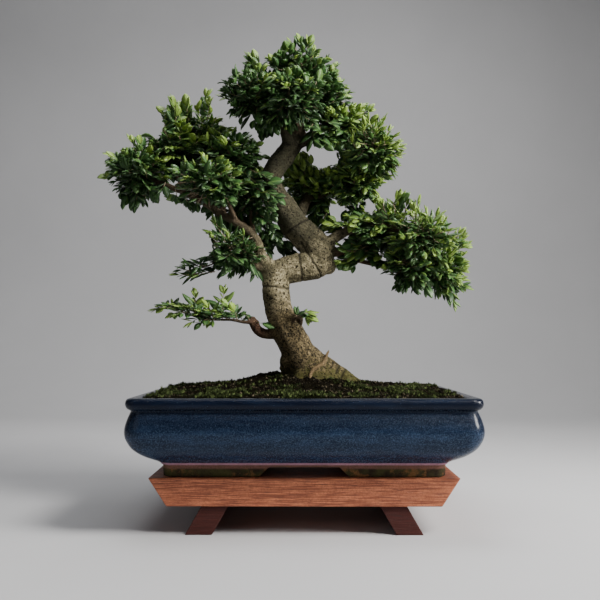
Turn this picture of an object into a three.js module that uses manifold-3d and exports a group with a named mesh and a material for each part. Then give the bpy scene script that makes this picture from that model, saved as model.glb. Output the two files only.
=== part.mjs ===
// Chinese elm bonsai in a glazed oval-cornered pot on a low wooden stand.
// Millimetres, +Z up, seen from the front along +Y. The origin is on the ground,
// under the middle of the whole object.

import * as THREE from 'three';
import { mergeVertices } from 'three/addons/utils/BufferGeometryUtils.js';
import Module from 'manifold-3d';

const wasm = await Module();
wasm.setup();

// Driving dimensions of the stand
const LEG_HEIGHT = 33;
const LEG_WIDTH = 31;
const LEG_FOOT_OUT = 137;
const LEG_TOP_OUT = 118;
const LEG_SET_BACK = 4;
const BOARD_THICKNESS = 32;
const BOARD_TOP_LENGTH = 359;
const BOARD_UNDER_LENGTH = 316;
const BOARD_DEPTH = 238;
const BOARD_TOP = LEG_HEIGHT + BOARD_THICKNESS;

// Driving dimensions of the pot
const POT_LENGTH = 404;
const POT_DEPTH = 300;
const RIM_TOP = 157.5;
const FOOT_INSET = 37;
const FOOT_HEIGHT = 11.5;
const FOOT_WALL = 20;
const FOOT_GAP_TOP = 82;
const FOOT_GAP_GROUND = 107;
const SIDE_GAP_TOP = 60;
const SIDE_GAP_GROUND = 85;
const UNDERSIDE = BOARD_TOP + FOOT_HEIGHT;
const POT_FLOOR = 86;
const CORNER_SIDES = 5;
const DRAIN_RADIUS = 12;
const DRAIN_OFFSET = 80;

// Driving dimensions of the soil and the screens over the drain holes
const FIT_GAP = 0.3;
const SCREEN_SIZE = 40;
const SCREEN_THICKNESS = 1.6;
const SCREEN_SLOTS = 4;
const SCREEN_SLOT_WIDTH = 4.5;
const SCREEN_SLOT_LENGTH = 28;
const SCREEN_PITCH = 8;
const SOIL_EDGE = 155;
const MOUND_HEIGHT = 17;
const MOUND_LENGTH = 135;
const MOUND_DEPTH = 85;
const MOSS_HUMP = { x: -42, y: 22, height: 9, radius: 34 };

// Driving dimensions of the wood
const WOOD_SIDES = 9;
const ROOT_SIDES = 5;
const TWIG_SIDES = 4;
const WOOD_GAP = 0.45;

// Driving dimensions of the leaves
const LEAF_LENGTH = 19;
const LEAF_WIDTH = 10.5;
const BLADE = 0.8;
const RIB_HALF_WIDTH = 0.9;
const LEAF_ANGLE = 1.0;
const LATERALS = 2;
const LEAF_STEP = 6.2;
const TIP_STEP = 5;
const LEAF_FOOT = 2.4;
const ARCH = 0.009;
const STALK = 6;
const SUNK = 5;
const CORE_PEAK = 0.66;
const CORE_VALLEY = 0.46;
const CORE_ROUGHNESS = 0.12;
const CORE_GAP = 0.6;
const SPRAY_CLEARANCE = 1;
const SPRAY_SEED = 100;
const STEM_SEED = 300;

const UP = new THREE.Vector3(0, 0, 1);

// A seeded draw between 0 and 1
function seededDraw(seed) {
  let state = seed >>> 0;
  return () => {
    state = (state + 0x6d2b79f5) >>> 0;
    let mixed = Math.imul(state ^ (state >>> 15), 1 | state);
    mixed = (mixed + Math.imul(mixed ^ (mixed >>> 7), 61 | mixed)) ^ mixed;
    return ((mixed ^ (mixed >>> 14)) >>> 0) / 4294967296;
  };
}

// A geometry's closed surface as a solid
function solidOf(geometry) {
  const bare = geometry.clone();
  bare.deleteAttribute('normal');
  bare.deleteAttribute('uv');
  const merged = mergeVertices(bare, 1e-4);
  const vertProperties = new Float32Array(merged.getAttribute('position').array);
  const triVerts = new Uint32Array(merged.getIndex().array);
  return new wasm.Manifold(new wasm.Mesh({ numProp: 3, vertProperties, triVerts }));
}

// A solid's surface as a geometry
function geometryOf(solid) {
  const mesh = solid.getMesh();
  const geometry = new THREE.BufferGeometry();
  geometry.setAttribute('position', new THREE.BufferAttribute(mesh.vertProperties, 3));
  geometry.setIndex(new THREE.BufferAttribute(mesh.triVerts, 1));
  return geometry;
}

// Only the largest connected body of a solid
function largestBody(solid) {
  const bodies = solid.decompose();
  return bodies.reduce((best, body) => (body.volume() > best.volume() ? body : best));
}

// A closed skin over rings that turn counter-clockwise round the way they follow
function loft(rings) {
  const sides = rings[0].length;
  const last = (rings.length - 1) * sides;
  const faces = [];
  for (let start = 0; start < last; start += sides) {
    for (let side = 0; side < sides; side += 1) {
      const here = start + side;
      const next = start + ((side + 1) % sides);
      faces.push(here, next, next + sides, here, next + sides, here + sides);
    }
  }
  for (let side = 1; side < sides - 1; side += 1) {
    faces.push(0, side + 1, side);
    faces.push(last, last + side, last + side + 1);
  }
  const geometry = new THREE.BufferGeometry();
  geometry.setFromPoints(rings.flat());
  geometry.setIndex(faces);
  return geometry;
}

// A level outline with round corners, counter-clockwise seen from above
function roundedRing(halfLength, halfDepth, radius, z) {
  const corners = [[1, 1], [-1, 1], [-1, -1], [1, -1]];
  const ring = [];
  corners.forEach(([alongX, alongY], corner) => {
    for (let step = 0; step < CORNER_SIDES; step += 1) {
      const angle = (corner + step / (CORNER_SIDES - 1)) * Math.PI / 2;
      ring.push(new THREE.Vector3(
        alongX * (halfLength - radius) + radius * Math.cos(angle),
        alongY * (halfDepth - radius) + radius * Math.sin(angle),
        z,
      ));
    }
  });
  return ring;
}

// A ring of the pot, set in from its rim all round
function potRing(inset, z, radius) {
  return roundedRing(POT_LENGTH / 2 - inset, POT_DEPTH / 2 - inset, radius, z);
}

// A prism of a flat outline, drawn in X and Z and as deep as given along Y
function prismAlongY(outline, depth) {
  const shape = new THREE.Shape(outline.map(([x, z]) => new THREE.Vector2(x, z)));
  const prism = new THREE.ExtrudeGeometry(shape, { depth, bevelEnabled: false });
  prism.translate(0, 0, -depth / 2);
  prism.rotateX(Math.PI / 2);
  return prism;
}

// The stand: a board whose ends slope in, and two slab legs that splay out
function standBoard() {
  const outline = [
    [-BOARD_UNDER_LENGTH / 2, LEG_HEIGHT],
    [BOARD_UNDER_LENGTH / 2, LEG_HEIGHT],
    [BOARD_TOP_LENGTH / 2, BOARD_TOP],
    [-BOARD_TOP_LENGTH / 2, BOARD_TOP],
  ];
  return prismAlongY(outline, BOARD_DEPTH);
}

function standLeg(side) {
  const outline = [
    [LEG_FOOT_OUT - LEG_WIDTH, 0],
    [LEG_FOOT_OUT, 0],
    [LEG_TOP_OUT, LEG_HEIGHT],
    [LEG_TOP_OUT - LEG_WIDTH, LEG_HEIGHT],
  ];
  const leg = prismAlongY(outline, BOARD_DEPTH - 2 * LEG_SET_BACK);
  if (side < 0) {
    leg.rotateZ(Math.PI);
  }
  return leg;
}

// The pot's inside, from the rim down to the floor
function cavityRings(gap) {
  return [
    potRing(52 + gap, POT_FLOOR + gap, 16),
    potRing(27 + gap, 94 + gap, 18),
    potRing(11 + gap, 112, 18),
    potRing(15 + gap, 150, 11),
  ];
}

// The pot: feet, raw clay band, swelling wall, bead, groove and rolled rim
function pot() {
  const outside = [
    potRing(FOOT_INSET + FOOT_WALL, UNDERSIDE, 8),
    potRing(FOOT_INSET + FOOT_WALL, BOARD_TOP, 8),
    potRing(FOOT_INSET, BOARD_TOP, 14),
    potRing(FOOT_INSET - 1, 79, 14),
    potRing(FOOT_INSET - 3, 80, 15),
    potRing(FOOT_INSET - 3, 83, 15),
    potRing(28, 87.5, 18),
    potRing(15, 93.5, 21),
    potRing(5, 102, 22),
    potRing(-1, 113, 22),
    potRing(-2, 121, 22),
    potRing(0.5, 132, 20),
    potRing(4, 141, 16),
    potRing(4, 144, 15),
    potRing(0.5, 147.5, 15),
    potRing(0, 154, 14),
    potRing(4, RIM_TOP, 13),
    potRing(14, RIM_TOP, 10),
  ];
  const inside = cavityRings(0).reverse();
  const body = solidOf(loft([...outside, ...inside]));
  const gapOutline = (top, ground) => [
    [-ground / 2, BOARD_TOP - 1],
    [ground / 2, BOARD_TOP - 1],
    [top / 2, UNDERSIDE],
    [-top / 2, UNDERSIDE],
  ];
  const frontGap = solidOf(prismAlongY(gapOutline(FOOT_GAP_TOP, FOOT_GAP_GROUND), POT_DEPTH));
  const sideGap = prismAlongY(gapOutline(SIDE_GAP_TOP, SIDE_GAP_GROUND), POT_LENGTH);
  sideGap.rotateZ(Math.PI / 2);
  let solid = body.subtract(frontGap).subtract(solidOf(sideGap));
  [-1, 1].forEach((side) => {
    const drain = new THREE.CylinderGeometry(DRAIN_RADIUS, DRAIN_RADIUS, 30, 12);
    drain.rotateX(Math.PI / 2);
    drain.translate(side * DRAIN_OFFSET, 0, UNDERSIDE);
    solid = solid.subtract(solidOf(drain));
  });
  return solid;
}

// A slotted screen that keeps the soil out of a drain hole
function drainScreen(side, gap) {
  const size = SCREEN_SIZE + 2 * gap;
  const plate = new THREE.BoxGeometry(size, size, SCREEN_THICKNESS + 2 * gap);
  const middle = POT_FLOOR + FIT_GAP + SCREEN_THICKNESS / 2;
  plate.translate(side * DRAIN_OFFSET, 0, middle);
  let solid = solidOf(plate);
  if (gap > 0) {
    return solid;
  }
  for (let slot = 0; slot < SCREEN_SLOTS; slot += 1) {
    const cut = new THREE.BoxGeometry(SCREEN_SLOT_WIDTH, SCREEN_SLOT_LENGTH, 10);
    cut.translate(side * DRAIN_OFFSET + (slot - (SCREEN_SLOTS - 1) / 2) * SCREEN_PITCH, 0, middle);
    solid = solid.subtract(solidOf(cut));
  }
  return solid;
}

// The height of the mossy soil: a low mound, and a hump left of the trunk
function soilHeight(x, y) {
  const mound = MOUND_HEIGHT * Math.exp(-((x / MOUND_LENGTH) ** 2) - ((y - 5) / MOUND_DEPTH) ** 2);
  const away = Math.hypot(x - MOSS_HUMP.x, y - MOSS_HUMP.y) / MOSS_HUMP.radius;
  const hump = MOSS_HUMP.height * Math.exp(-(away ** 2));
  const lumps = 0.9 * Math.sin(x / 13) * Math.cos(y / 11);
  return SOIL_EDGE + mound + hump + lumps;
}

// The soil, which fills the pot and has a plain hole for the trunk
function soil(woodClear) {
  const rings = cavityRings(FIT_GAP);
  const rim = potRing(15 + FIT_GAP, 0, 10);
  [1, 0.84, 0.66, 0.47, 0.3, 0.14].forEach((share) => {
    rings.push(rim.map(({ x, y }) => {
      const point = new THREE.Vector3(x * share, y * share, 0);
      point.z = share === 1 ? SOIL_EDGE : soilHeight(point.x, point.y);
      return point;
    }));
  });
  let solid = solidOf(loft(rings)).subtract(woodClear);
  [-1, 1].forEach((side) => {
    solid = solid.subtract(drainScreen(side, FIT_GAP));
  });
  return largestBody(solid);
}

// The trunk and its branches as paths of x, y, z and radius
const TRUNK_PATHS = {
  trunkFoot: [
    [28, 2, 150, 37], [21, 1, 169, 34], [4, 0, 191, 25.5], [-9, -2, 211, 22],
    [-19, -5, 231, 20.5], [-28, -8, 250, 18.5], [-34, -10, 270, 18.5], [-37, -11, 290, 18],
    [-37, -10, 310, 18],
  ],
  crossPiece: [
    [-51, -11, 309, 9], [-42, -10, 312, 15.5], [-15, -6, 320, 18.5], [9, 0, 326, 19],
    [24, 4, 328, 17], [33, 6, 326, 12],
  ],
  upperTrunk: [
    [19, 3, 331, 20], [11, 3, 357, 19], [-12, 0, 380, 18.5], [-27, -4, 402, 17],
    [-38, -8, 420, 15], [-45, -9, 437, 13.5], [-39, -8, 454, 14.5], [-26, -5, 473, 14],
    [-15, -3, 489, 13],
  ],
  leader: [
    [-15, -3, 485, 12], [-8, -2, 504, 9.5], [-7, -4, 529, 7], [-5, -6, 557, 5.5],
    [-3, -8, 591, 3.5],
  ],
};

const BRANCH_PATHS = {
  leaderLeft: [
    [-18, -4, 482, 10.5], [-24, -12, 502, 8], [-33, -20, 520, 6], [-48, -28, 533, 4.5],
    [-62, -33, 542, 3],
  ],
  leaderFront: [[-7, -4, 504, 6], [-12, -22, 516, 4.5], [-20, -38, 526, 3]],
  leaderRight: [[-6, -5, 540, 5], [4, 8, 556, 4], [14, 18, 568, 3]],
  leaderBack: [[-8, 0, 508, 6.5], [-11, 25, 544, 5], [-20, 50, 576, 4], [-24, 62, 588, 3]],
  left: [
    [-48, -12, 320, 12], [-58, -16, 338, 8], [-63, -20, 355, 6.5], [-75, -23, 368, 6],
    [-92, -25, 379, 5.5], [-110, -25, 390, 5.5], [-128, -24, 403, 5], [-150, -22, 416, 4.5],
    [-173, -20, 425, 4], [-198, -20, 436, 3.5], [-222, -20, 444, 3],
  ],
  leftUpper: [[-156, -21, 418, 3.5], [-172, -12, 446, 3.2], [-184, -2, 470, 3]],
  leftInner: [[-128, -24, 403, 3.5], [-139, 0, 444, 3.2], [-150, 24, 487, 3], [-153, 30, 510, 2.8]],
  leftNear: [[-108, -25, 389, 3.8], [-103, -22, 422, 3.2], [-100, -18, 462, 2.8]],
  leftMid: [[-66, -21, 360, 4], [-70, -16, 385, 3.4], [-71, -8, 408, 2.8]],
  leftLow: [[-89, -25, 379, 3.8], [-96, -38, 396, 3.2], [-101, -46, 410, 2.8]],
  leftBack: [[-75, -22, 369, 4.2], [-99, 15, 406, 3.8], [-129, 50, 439, 3.2], [-150, 70, 462, 2.8]],
  kneeTwig: [[-50, -14, 319, 8], [-66, -20, 321, 5], [-82, -27, 328, 4], [-96, -32, 334, 3]],
  shoulder: [
    [-12, -2, 491, 10], [11, 2, 499, 7.5], [36, 8, 505, 6], [66, 4, 503, 5],
    [84, -4, 491, 4], [97, -8, 481, 3],
  ],
  shoulderTop: [[36, 8, 505, 4], [48, 14, 516, 3.4], [55, 19, 523, 3]],
  rear: [[-10, 8, 385, 9], [-1, 28, 408, 7], [7, 48, 435, 5.5], [10, 58, 450, 4]],
  rearRight: [[3, 38, 419, 4.5], [30, 42, 431, 4], [58, 38, 441, 3.5], [78, 31, 449, 3]],
  rearHigh: [[58, 38, 440, 3.5], [69, 58, 467, 3.2], [77, 72, 492, 3]],
  right: [
    [16, 2, 345, 12], [28, 0, 364, 9.5], [44, -2, 373, 8], [62, -2, 377, 7],
    [83, -4, 380, 6], [106, -8, 376, 5], [130, -16, 367, 4], [154, -22, 357, 3],
  ],
  rightInner: [[83, -4, 380, 4], [98, 8, 385, 3.4], [110, 17, 388, 3]],
  rightTip: [[130, -16, 367, 3.5], [153, -4, 344, 3.2], [173, 6, 329, 3], [184, 10, 321, 2.8]],
  rightBack: [[108, -8, 376, 3.5], [130, 22, 368, 3.2], [150, 50, 362, 2.8]],
  underRight: [
    [22, 3, 350, 8], [41, 10, 352, 5.5], [53, 14, 344, 4.5], [70, 18, 341, 4],
    [86, 22, 352, 3.5], [98, 26, 366, 3],
  ],
  lowRight: [[66, 17, 340, 3.5], [94, 2, 326, 3.2], [124, -10, 317, 3]],
  lowStub: [[-24, -6, 238, 10], [-42, -9, 232, 10], [-55, -14, 229, 6.5], [-64, -18, 237, 6], [-68, -20, 246, 5]],
  cutStub: [[-21, -12, 254, 8], [-9, -18, 257, 6.5], [-4, -20, 259, 5]],
};

const ROOT_PATHS = {
  right: [[29, -4, 183, 14.5], [51, -8, 174, 10.5], [72, -14, 160, 5]],
  front: [[22, -14, 184, 15], [34, -34, 173, 10], [42, -50, 162, 5]],
  frontLeft: [[4, -10, 186, 14], [-12, -32, 173, 9], [-20, -46, 162, 5]],
  left: [[-6, 2, 192, 13], [-26, 4, 179, 9], [-42, 6, 168, 5]],
  back: [[20, 16, 186, 16], [24, 40, 173, 11], [26, 58, 162, 6]],
};

// A thin root that crosses the front of the trunk's foot
const SURFACE_ROOT = [
  [4, -12, 209, 1.8], [21, -24, 199, 1.8], [16, -34, 189, 1.6], [12, -42, 176, 1.6],
  [11, -44, 164, 1.6],
];

// A round limb along a path, with slow swellings, thinner towards its end
function limb(path, sides, extra, roundEnd) {
  const places = path.map(([x, y, z]) => new THREE.Vector3(x, y, z));
  const curve = new THREE.CatmullRomCurve3(places, false, 'centripetal');
  const steps = path.length - 1;
  const rings = [];
  const normal = new THREE.Vector3(0.3, 1, 0.2);
  for (let step = 0; step <= steps; step += 1) {
    const radius = path[step][3] + extra;
    const tangent = curve.getTangent(step / steps);
    const centre = curve.getPoint(step / steps);
    normal.projectOnPlane(tangent).normalize();
    const across = new THREE.Vector3().crossVectors(tangent, normal);
    if (step === 0) {
      centre.addScaledVector(tangent, -extra);
    }
    if (step === steps) {
      centre.addScaledVector(tangent, extra);
    }
    const ring = [];
    for (let side = 0; side < sides; side += 1) {
      const angle = (side / sides) * 2 * Math.PI;
      const swell = 1 + 0.05 * Math.sin(2 * angle + step * 1.7) + 0.03 * Math.sin(3 * angle - step);
      const point = centre.clone();
      point.addScaledVector(normal, Math.cos(angle) * radius * swell);
      point.addScaledVector(across, Math.sin(angle) * radius * swell);
      ring.push(point);
    }
    rings.push(ring);
    if (roundEnd && step === steps) {
      const cap = ring.map((point) => point.clone().lerp(centre, 0.5).addScaledVector(tangent, radius * 0.45));
      rings.push(cap);
    }
  }
  return solidOf(loft(rings));
}

// The whole of the wood, grown as one piece; extra makes it thicker all round
function wood(extra) {
  const thick = Object.values(TRUNK_PATHS).map((path) => limb(path, WOOD_SIDES, extra, true));
  const roots = Object.values(ROOT_PATHS).map((path) => limb(path, ROOT_SIDES, extra, false));
  const thin = Object.values(BRANCH_PATHS).map((path) => limb(path, TWIG_SIDES, extra, false));
  const surfaceRoot = limb(SURFACE_ROOT, 4, extra, false);
  return [...thick, ...roots, ...thin, surfaceRoot].reduce((whole, piece) => whole.add(piece));
}

// One flat leafy spray: a rib along Y with alternate leaves and one at the tip.
// The rib starts a stalk's length below the first leaf.
function sprayOutline(size) {
  const sides = { 1: [], '-1': [] };
  const length = LEAF_LENGTH * size;
  const half = (LEAF_WIDTH * size) / 2;
  for (let leaf = 0; leaf < LATERALS; leaf += 1) {
    const side = leaf % 2 === 0 ? 1 : -1;
    const foot = STALK + leaf * LEAF_STEP * size;
    const along = [side * Math.sin(LEAF_ANGLE), Math.cos(LEAF_ANGLE)];
    const aside = [side * Math.cos(LEAF_ANGLE), -Math.sin(LEAF_ANGLE)];
    const at = (forward, out) => new THREE.Vector2(
      side * RIB_HALF_WIDTH + along[0] * forward + aside[0] * out,
      foot + along[1] * forward + aside[1] * out,
    );
    sides[side].push(
      at(0, 0),
      at(length * 0.4, half),
      at(length, 0),
      at(length * 0.45, -half * 0.9),
      new THREE.Vector2(side * RIB_HALF_WIDTH, foot + LEAF_FOOT * size),
    );
  }
  const top = STALK + ((LATERALS - 1) * LEAF_STEP + TIP_STEP) * size;
  const tip = [
    new THREE.Vector2(half * 0.95, top + length * 0.45),
    new THREE.Vector2(0, top + length),
    new THREE.Vector2(-half * 0.95, top + length * 0.45),
  ];
  const foot = [new THREE.Vector2(-RIB_HALF_WIDTH, 0), new THREE.Vector2(RIB_HALF_WIDTH, 0)];
  return [...foot, ...sides[1], ...tip, ...sides['-1'].reverse()];
}

// The length of a spray from its root to its tip
function sprayReach(size) {
  return STALK + ((LATERALS - 1) * LEAF_STEP + TIP_STEP + LEAF_LENGTH) * size;
}

// A spray grown from a root, its leaves turned up and its rib arched
function spray({ root, heading, face, size, wave }, thickness) {
  const shape = new THREE.Shape(sprayOutline(size));
  const blade = new THREE.ExtrudeGeometry(shape, { depth: thickness, bevelEnabled: false });
  const places = blade.getAttribute('position');
  for (let index = 0; index < places.count; index += 1) {
    const x = places.getX(index);
    const y = places.getY(index);
    const past = Math.max(0, y - STALK);
    const lift = 0.28 * Math.abs(x) - ARCH * past * past + wave * Math.sin(x / 5 + y / 7 + wave * 9);
    places.setZ(index, places.getZ(index) - thickness / 2 + lift);
  }
  const side = new THREE.Vector3().crossVectors(heading, face).normalize();
  const normal = new THREE.Vector3().crossVectors(side, heading);
  const place = new THREE.Matrix4().makeBasis(side, heading, normal).setPosition(root);
  return solidOf(blade.applyMatrix4(place));
}

// Foliage clouds: centre, reach of the leaf tips from it, number of sprays,
// and the directions of single shoots that stand out
const CLOUDS = {
  leaves_left_tip: { at: [-219, -20, 444], reach: [45, 44, 40], sprays: 6, shoots: [[-1, 0, 0.45]] },
  leaves_left_upper: { at: [-184, 2, 480], reach: [52, 48, 46], sprays: 6, shoots: [[0.1, 0, 1]] },
  leaves_left_inner: { at: [-144, 30, 512], reach: [52, 48, 50], sprays: 6, shoots: [[0.3, 0, 1]] },
  leaves_left_near: { at: [-96, -16, 470], reach: [48, 44, 44], sprays: 6, shoots: [] },
  leaves_left_mid: { at: [-70, -2, 420], reach: [44, 42, 40], sprays: 5, shoots: [] },
  leaves_left_low: { at: [-118, -48, 422], reach: [52, 44, 40], sprays: 6, shoots: [] },
  leaves_left_back: { at: [-150, 80, 462], reach: [50, 46, 48], sprays: 4, shoots: [] },
  leaves_crown_top: { at: [-12, -8, 592], reach: [54, 48, 46], sprays: 7, shoots: [[0.3, 0, 1]] },
  leaves_crown_left: { at: [-62, -34, 542], reach: [50, 46, 46], sprays: 6, shoots: [[-0.7, 0, 0.7]] },
  leaves_crown_right: { at: [24, 24, 566], reach: [52, 46, 48], sprays: 6, shoots: [] },
  leaves_crown_front: { at: [-16, -50, 536], reach: [47, 42, 38], sprays: 5, shoots: [] },
  leaves_crown_back: { at: [-24, 66, 580], reach: [52, 46, 44], sprays: 4, shoots: [] },
  leaves_shoulder_top: { at: [58, 22, 524], reach: [46, 44, 38], sprays: 5, shoots: [] },
  leaves_shoulder: { at: [98, -8, 482], reach: [45, 44, 44], sprays: 6, shoots: [[1, 0, 0.3]] },
  leaves_shoulder_low: { at: [78, 30, 446], reach: [50, 44, 36], sprays: 4, shoots: [] },
  leaves_shoulder_back: { at: [78, 80, 496], reach: [47, 45, 44], sprays: 4, shoots: [] },
  leaves_rear: { at: [12, 64, 446], reach: [44, 44, 35], sprays: 4, shoots: [] },
  leaves_right_inner: { at: [108, 28, 374], reach: [50, 45, 46], sprays: 5, shoots: [] },
  leaves_right_top: { at: [157, -28, 354], reach: [53, 46, 45], sprays: 6, shoots: [] },
  leaves_right_tip: { at: [184, 14, 322], reach: [45, 44, 41], sprays: 5, shoots: [[1, 0, 0.5], [0.4, 0, -1]] },
  leaves_right_low: { at: [135, -16, 316], reach: [46, 42, 36], sprays: 5, shoots: [] },
  leaves_right_back: { at: [153, 66, 360], reach: [49, 46, 44], sprays: 4, shoots: [] },
  leaves_knee: { at: [-100, -34, 338], reach: [45, 40, 32], sprays: 5, shoots: [] },
};

// Directions spread evenly over a ball, turned by a seeded draw
function evenDirections(count, draw) {
  const turn = draw() * 2 * Math.PI;
  return Array.from({ length: count }, (_, index) => {
    const height = 1 - (2 * index + 1) / count;
    const around = turn + index * Math.PI * (3 - Math.sqrt(5));
    const level = Math.sqrt(1 - height * height);
    return new THREE.Vector3(level * Math.cos(around), level * Math.sin(around), height);
  });
}

// A ball of 80 faces, and the corners of it that bear a cloud's sprays
function ball() {
  const geometry = new THREE.IcosahedronGeometry(1, 1);
  geometry.deleteAttribute('normal');
  geometry.deleteAttribute('uv');
  return mergeVertices(geometry, 1e-4);
}

function budDirections(cloud, seed) {
  const places = ball().getAttribute('position');
  const corners = Array.from(
    { length: places.count },
    (_, index) => new THREE.Vector3().fromBufferAttribute(places, index),
  );
  const nearest = (direction) => corners.reduce(
    (best, corner) => (corner.dot(direction) > best.dot(direction) ? corner : best),
  );
  return evenDirections(cloud.sprays, seededDraw(seed)).map(nearest);
}

// A small rough core inside a cloud, with a peak under each spray; extra makes
// it larger all round
function cloudCore(cloud, seed, extra) {
  const draw = seededDraw(seed);
  const buds = budDirections(cloud, seed);
  const core = ball();
  const places = core.getAttribute('position');
  for (let index = 0; index < places.count; index += 1) {
    const corner = new THREE.Vector3().fromBufferAttribute(places, index);
    const isBud = buds.some((bud) => bud.distanceTo(corner) < 0.01);
    const share = isBud ? CORE_PEAK : CORE_VALLEY + CORE_ROUGHNESS * draw();
    places.setXYZ(index, ...['x', 'y', 'z'].map(
      (axis, order) => cloud.at[order] + corner[axis] * (cloud.reach[order] * share + extra),
    ));
  }
  return solidOf(core);
}

// How far out a point is, as a share of a cloud's reach that way
function shareOfReach(cloud, point) {
  return Math.hypot(...point.toArray().map((value, axis) => (value - cloud.at[axis]) / cloud.reach[axis]));
}

// A spray rooted in a cloud's core. It leans over until its tip is within the
// cloud's reach, except a single shoot, which stands straight out.
function cloudSpray(cloud, direction, draw, straight) {
  const aside = new THREE.Vector3(draw() - 0.5, draw() - 0.5, draw() - 0.2);
  aside.projectOnPlane(direction).normalize();
  const size = 0.92 + 0.2 * draw();
  const wave = 0.5 + 0.6 * draw();
  const root = direction.clone().multiply(new THREE.Vector3(...cloud.reach));
  root.multiplyScalar(straight ? CORE_VALLEY : CORE_PEAK);
  root.setLength(root.length() - SUNK);
  root.add(new THREE.Vector3(...cloud.at));
  const heading = direction.clone();
  for (let lean = 0.1; lean < 1.4 && !straight; lean += 0.1) {
    heading.copy(direction).multiplyScalar(Math.cos(lean)).addScaledVector(aside, Math.sin(lean));
    const tip = root.clone().addScaledVector(heading, sprayReach(size));
    if (shareOfReach(cloud, tip) <= 1) {
      break;
    }
  }
  const face = direction.clone().addScaledVector(UP, straight ? 0 : 0.3);
  if (straight) {
    face.set(0, -1, 0.5);
  }
  return { root, heading, face, size, wave };
}

// A cloud's sprays, spread evenly round its core. One that would touch a
// neighbour or cross its own is turned, and left out if it still does.
function cloudSprays(cloud, seed, obstacles) {
  const draw = seededDraw(seed + SPRAY_SEED);
  const single = cloud.shoots.map((direction) => new THREE.Vector3(...direction).normalize());
  const directions = [...single, ...budDirections(cloud, seed)];
  const kept = [];
  directions.forEach((direction, index) => {
    for (let attempt = 0; attempt < 8; attempt += 1) {
      const grown = cloudSpray(cloud, direction, draw, index < single.length);
      const fat = spray(grown, BLADE + SPRAY_CLEARANCE);
      const crossed = [...obstacles, ...kept].some((other) => !fat.intersect(other).isEmpty());
      if (!crossed) {
        kept.push(spray(grown, BLADE));
        break;
      }
    }
  });
  return kept;
}

// All the foliage clouds, each clear of the wood and of the others
function foliage(woodClear) {
  const entries = Object.entries(CLOUDS);
  const cores = entries.map(([, cloud], index) => cloudCore(cloud, index + 1, 0));
  const coreClear = entries.map(([, cloud], index) => cloudCore(cloud, index + 1, CORE_GAP));
  const grown = [];
  const solids = [];
  entries.forEach(([name, cloud], index) => {
    const others = coreClear.filter((_, other) => other !== index);
    const kept = cloudSprays(cloud, index + 1, [...others, ...grown]);
    grown.push(...kept);
    let solid = cores[index];
    coreClear.slice(0, index).forEach((earlier) => {
      solid = solid.subtract(earlier);
    });
    kept.forEach((blade) => {
      solid = solid.add(blade);
    });
    solids.push([name, largestBody(solid.subtract(woodClear))]);
  });
  return { solids, grown, coreClear };
}

// Thin leafy stems: their path, and the sprays along it as place, heading and face
const LEAFY_STEMS = {
  lowest_branch: {
    path: [
      [-68.5, -20.5, 247.5, 3], [-76, -22, 246, 2.6], [-95, -25, 250, 2.2], [-114, -27, 250, 2],
      [-134, -30, 252, 1.8], [-150, -32, 258, 1.5], [-160, -33, 261, 1.3],
    ],
    sprays: [
      [0.2, [0.3, -0.6, 0.6]], [0.34, [-0.3, 0.8, 0.3]], [0.46, [0, 0, 1]], [0.55, [-0.5, -0.8, 0.2]],
      [0.64, [-0.5, 0.8, 0.2]], [0.76, [-0.1, 0, 1]], [0.84, [-0.6, -0.8, 0.1]],
      [1, [-1, 0, 0.15]],
    ],
    size: 1.05,
  },
  knee_twig: {
    path: [[-108, -36, 326, 1.8], [-124, -34, 320, 1.6], [-138, -31, 316, 1.4], [-148, -29, 313, 1.2]],
    sprays: [
      [0.45, [-0.5, -0.8, 0.5]], [0.6, [-0.4, 0.8, 0.5]], [0.78, [-0.6, -0.6, 0.3]], [1, [-1, 0.1, 0.1]],
    ],
    size: 0.95,
  },
  trunk_shoot: {
    path: [[-5, -19.6, 258.6, 1.8], [0, -21.5, 261, 1.5], [6, -23, 264, 1.2]],
    sprays: [[0.5, [-0.6, -0.6, 0.8]], [1, [1, -0.3, 0.1]]],
    size: 0.6,
  },
};

// A leafy stem grown as one piece, clear of the wood and of the clouds
function leafyStem({ path, sprays, size }, seed, clear, grown) {
  const draw = seededDraw(seed);
  const places = path.map(([x, y, z]) => new THREE.Vector3(x, y, z));
  const curve = new THREE.CatmullRomCurve3(places, false, 'centripetal');
  const kept = [];
  sprays.forEach(([share, way]) => {
    const heading = new THREE.Vector3(...way).normalize();
    const face = Math.abs(heading.z) > 0.7 ? new THREE.Vector3(0.2, -1, 0.4) : new THREE.Vector3(0, -0.35, 1);
    const root = curve.getPoint(share).addScaledVector(heading, -0.5);
    const leafy = { root, heading, face, size, wave: 0.4 + 0.5 * draw() };
    const fat = spray(leafy, BLADE + SPRAY_CLEARANCE);
    if (grown.every((blade) => fat.intersect(blade).isEmpty())) {
      kept.push(spray(leafy, BLADE));
    }
  });
  const solid = kept.reduce((whole, blade) => whole.add(blade), limb(path, TWIG_SIDES, 0, false));
  return largestBody(clear.reduce((left, other) => left.subtract(other), solid));
}

// Finishes
const FINISHES = {
  board: { color: 0xa8593c, roughness: 0.55, metalness: 0 },
  leg: { color: 0x4b2a28, roughness: 0.5, metalness: 0 },
  glaze: { color: 0x16283f, roughness: 0.18, metalness: 0 },
  plastic: { color: 0x20211f, roughness: 0.6, metalness: 0 },
  soil: { color: 0x2c2a1a, roughness: 0.95, metalness: 0 },
  bark: { color: 0x8d7a5f, roughness: 0.85, metalness: 0 },
  leaf: { color: 0x2f4a1f, roughness: 0.45, metalness: 0 },
};

// A named mesh with its own finish
function piece(name, geometry, finish) {
  const mesh = new THREE.Mesh(geometry, new THREE.MeshStandardMaterial(FINISHES[finish]));
  mesh.name = name;
  return mesh;
}

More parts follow.
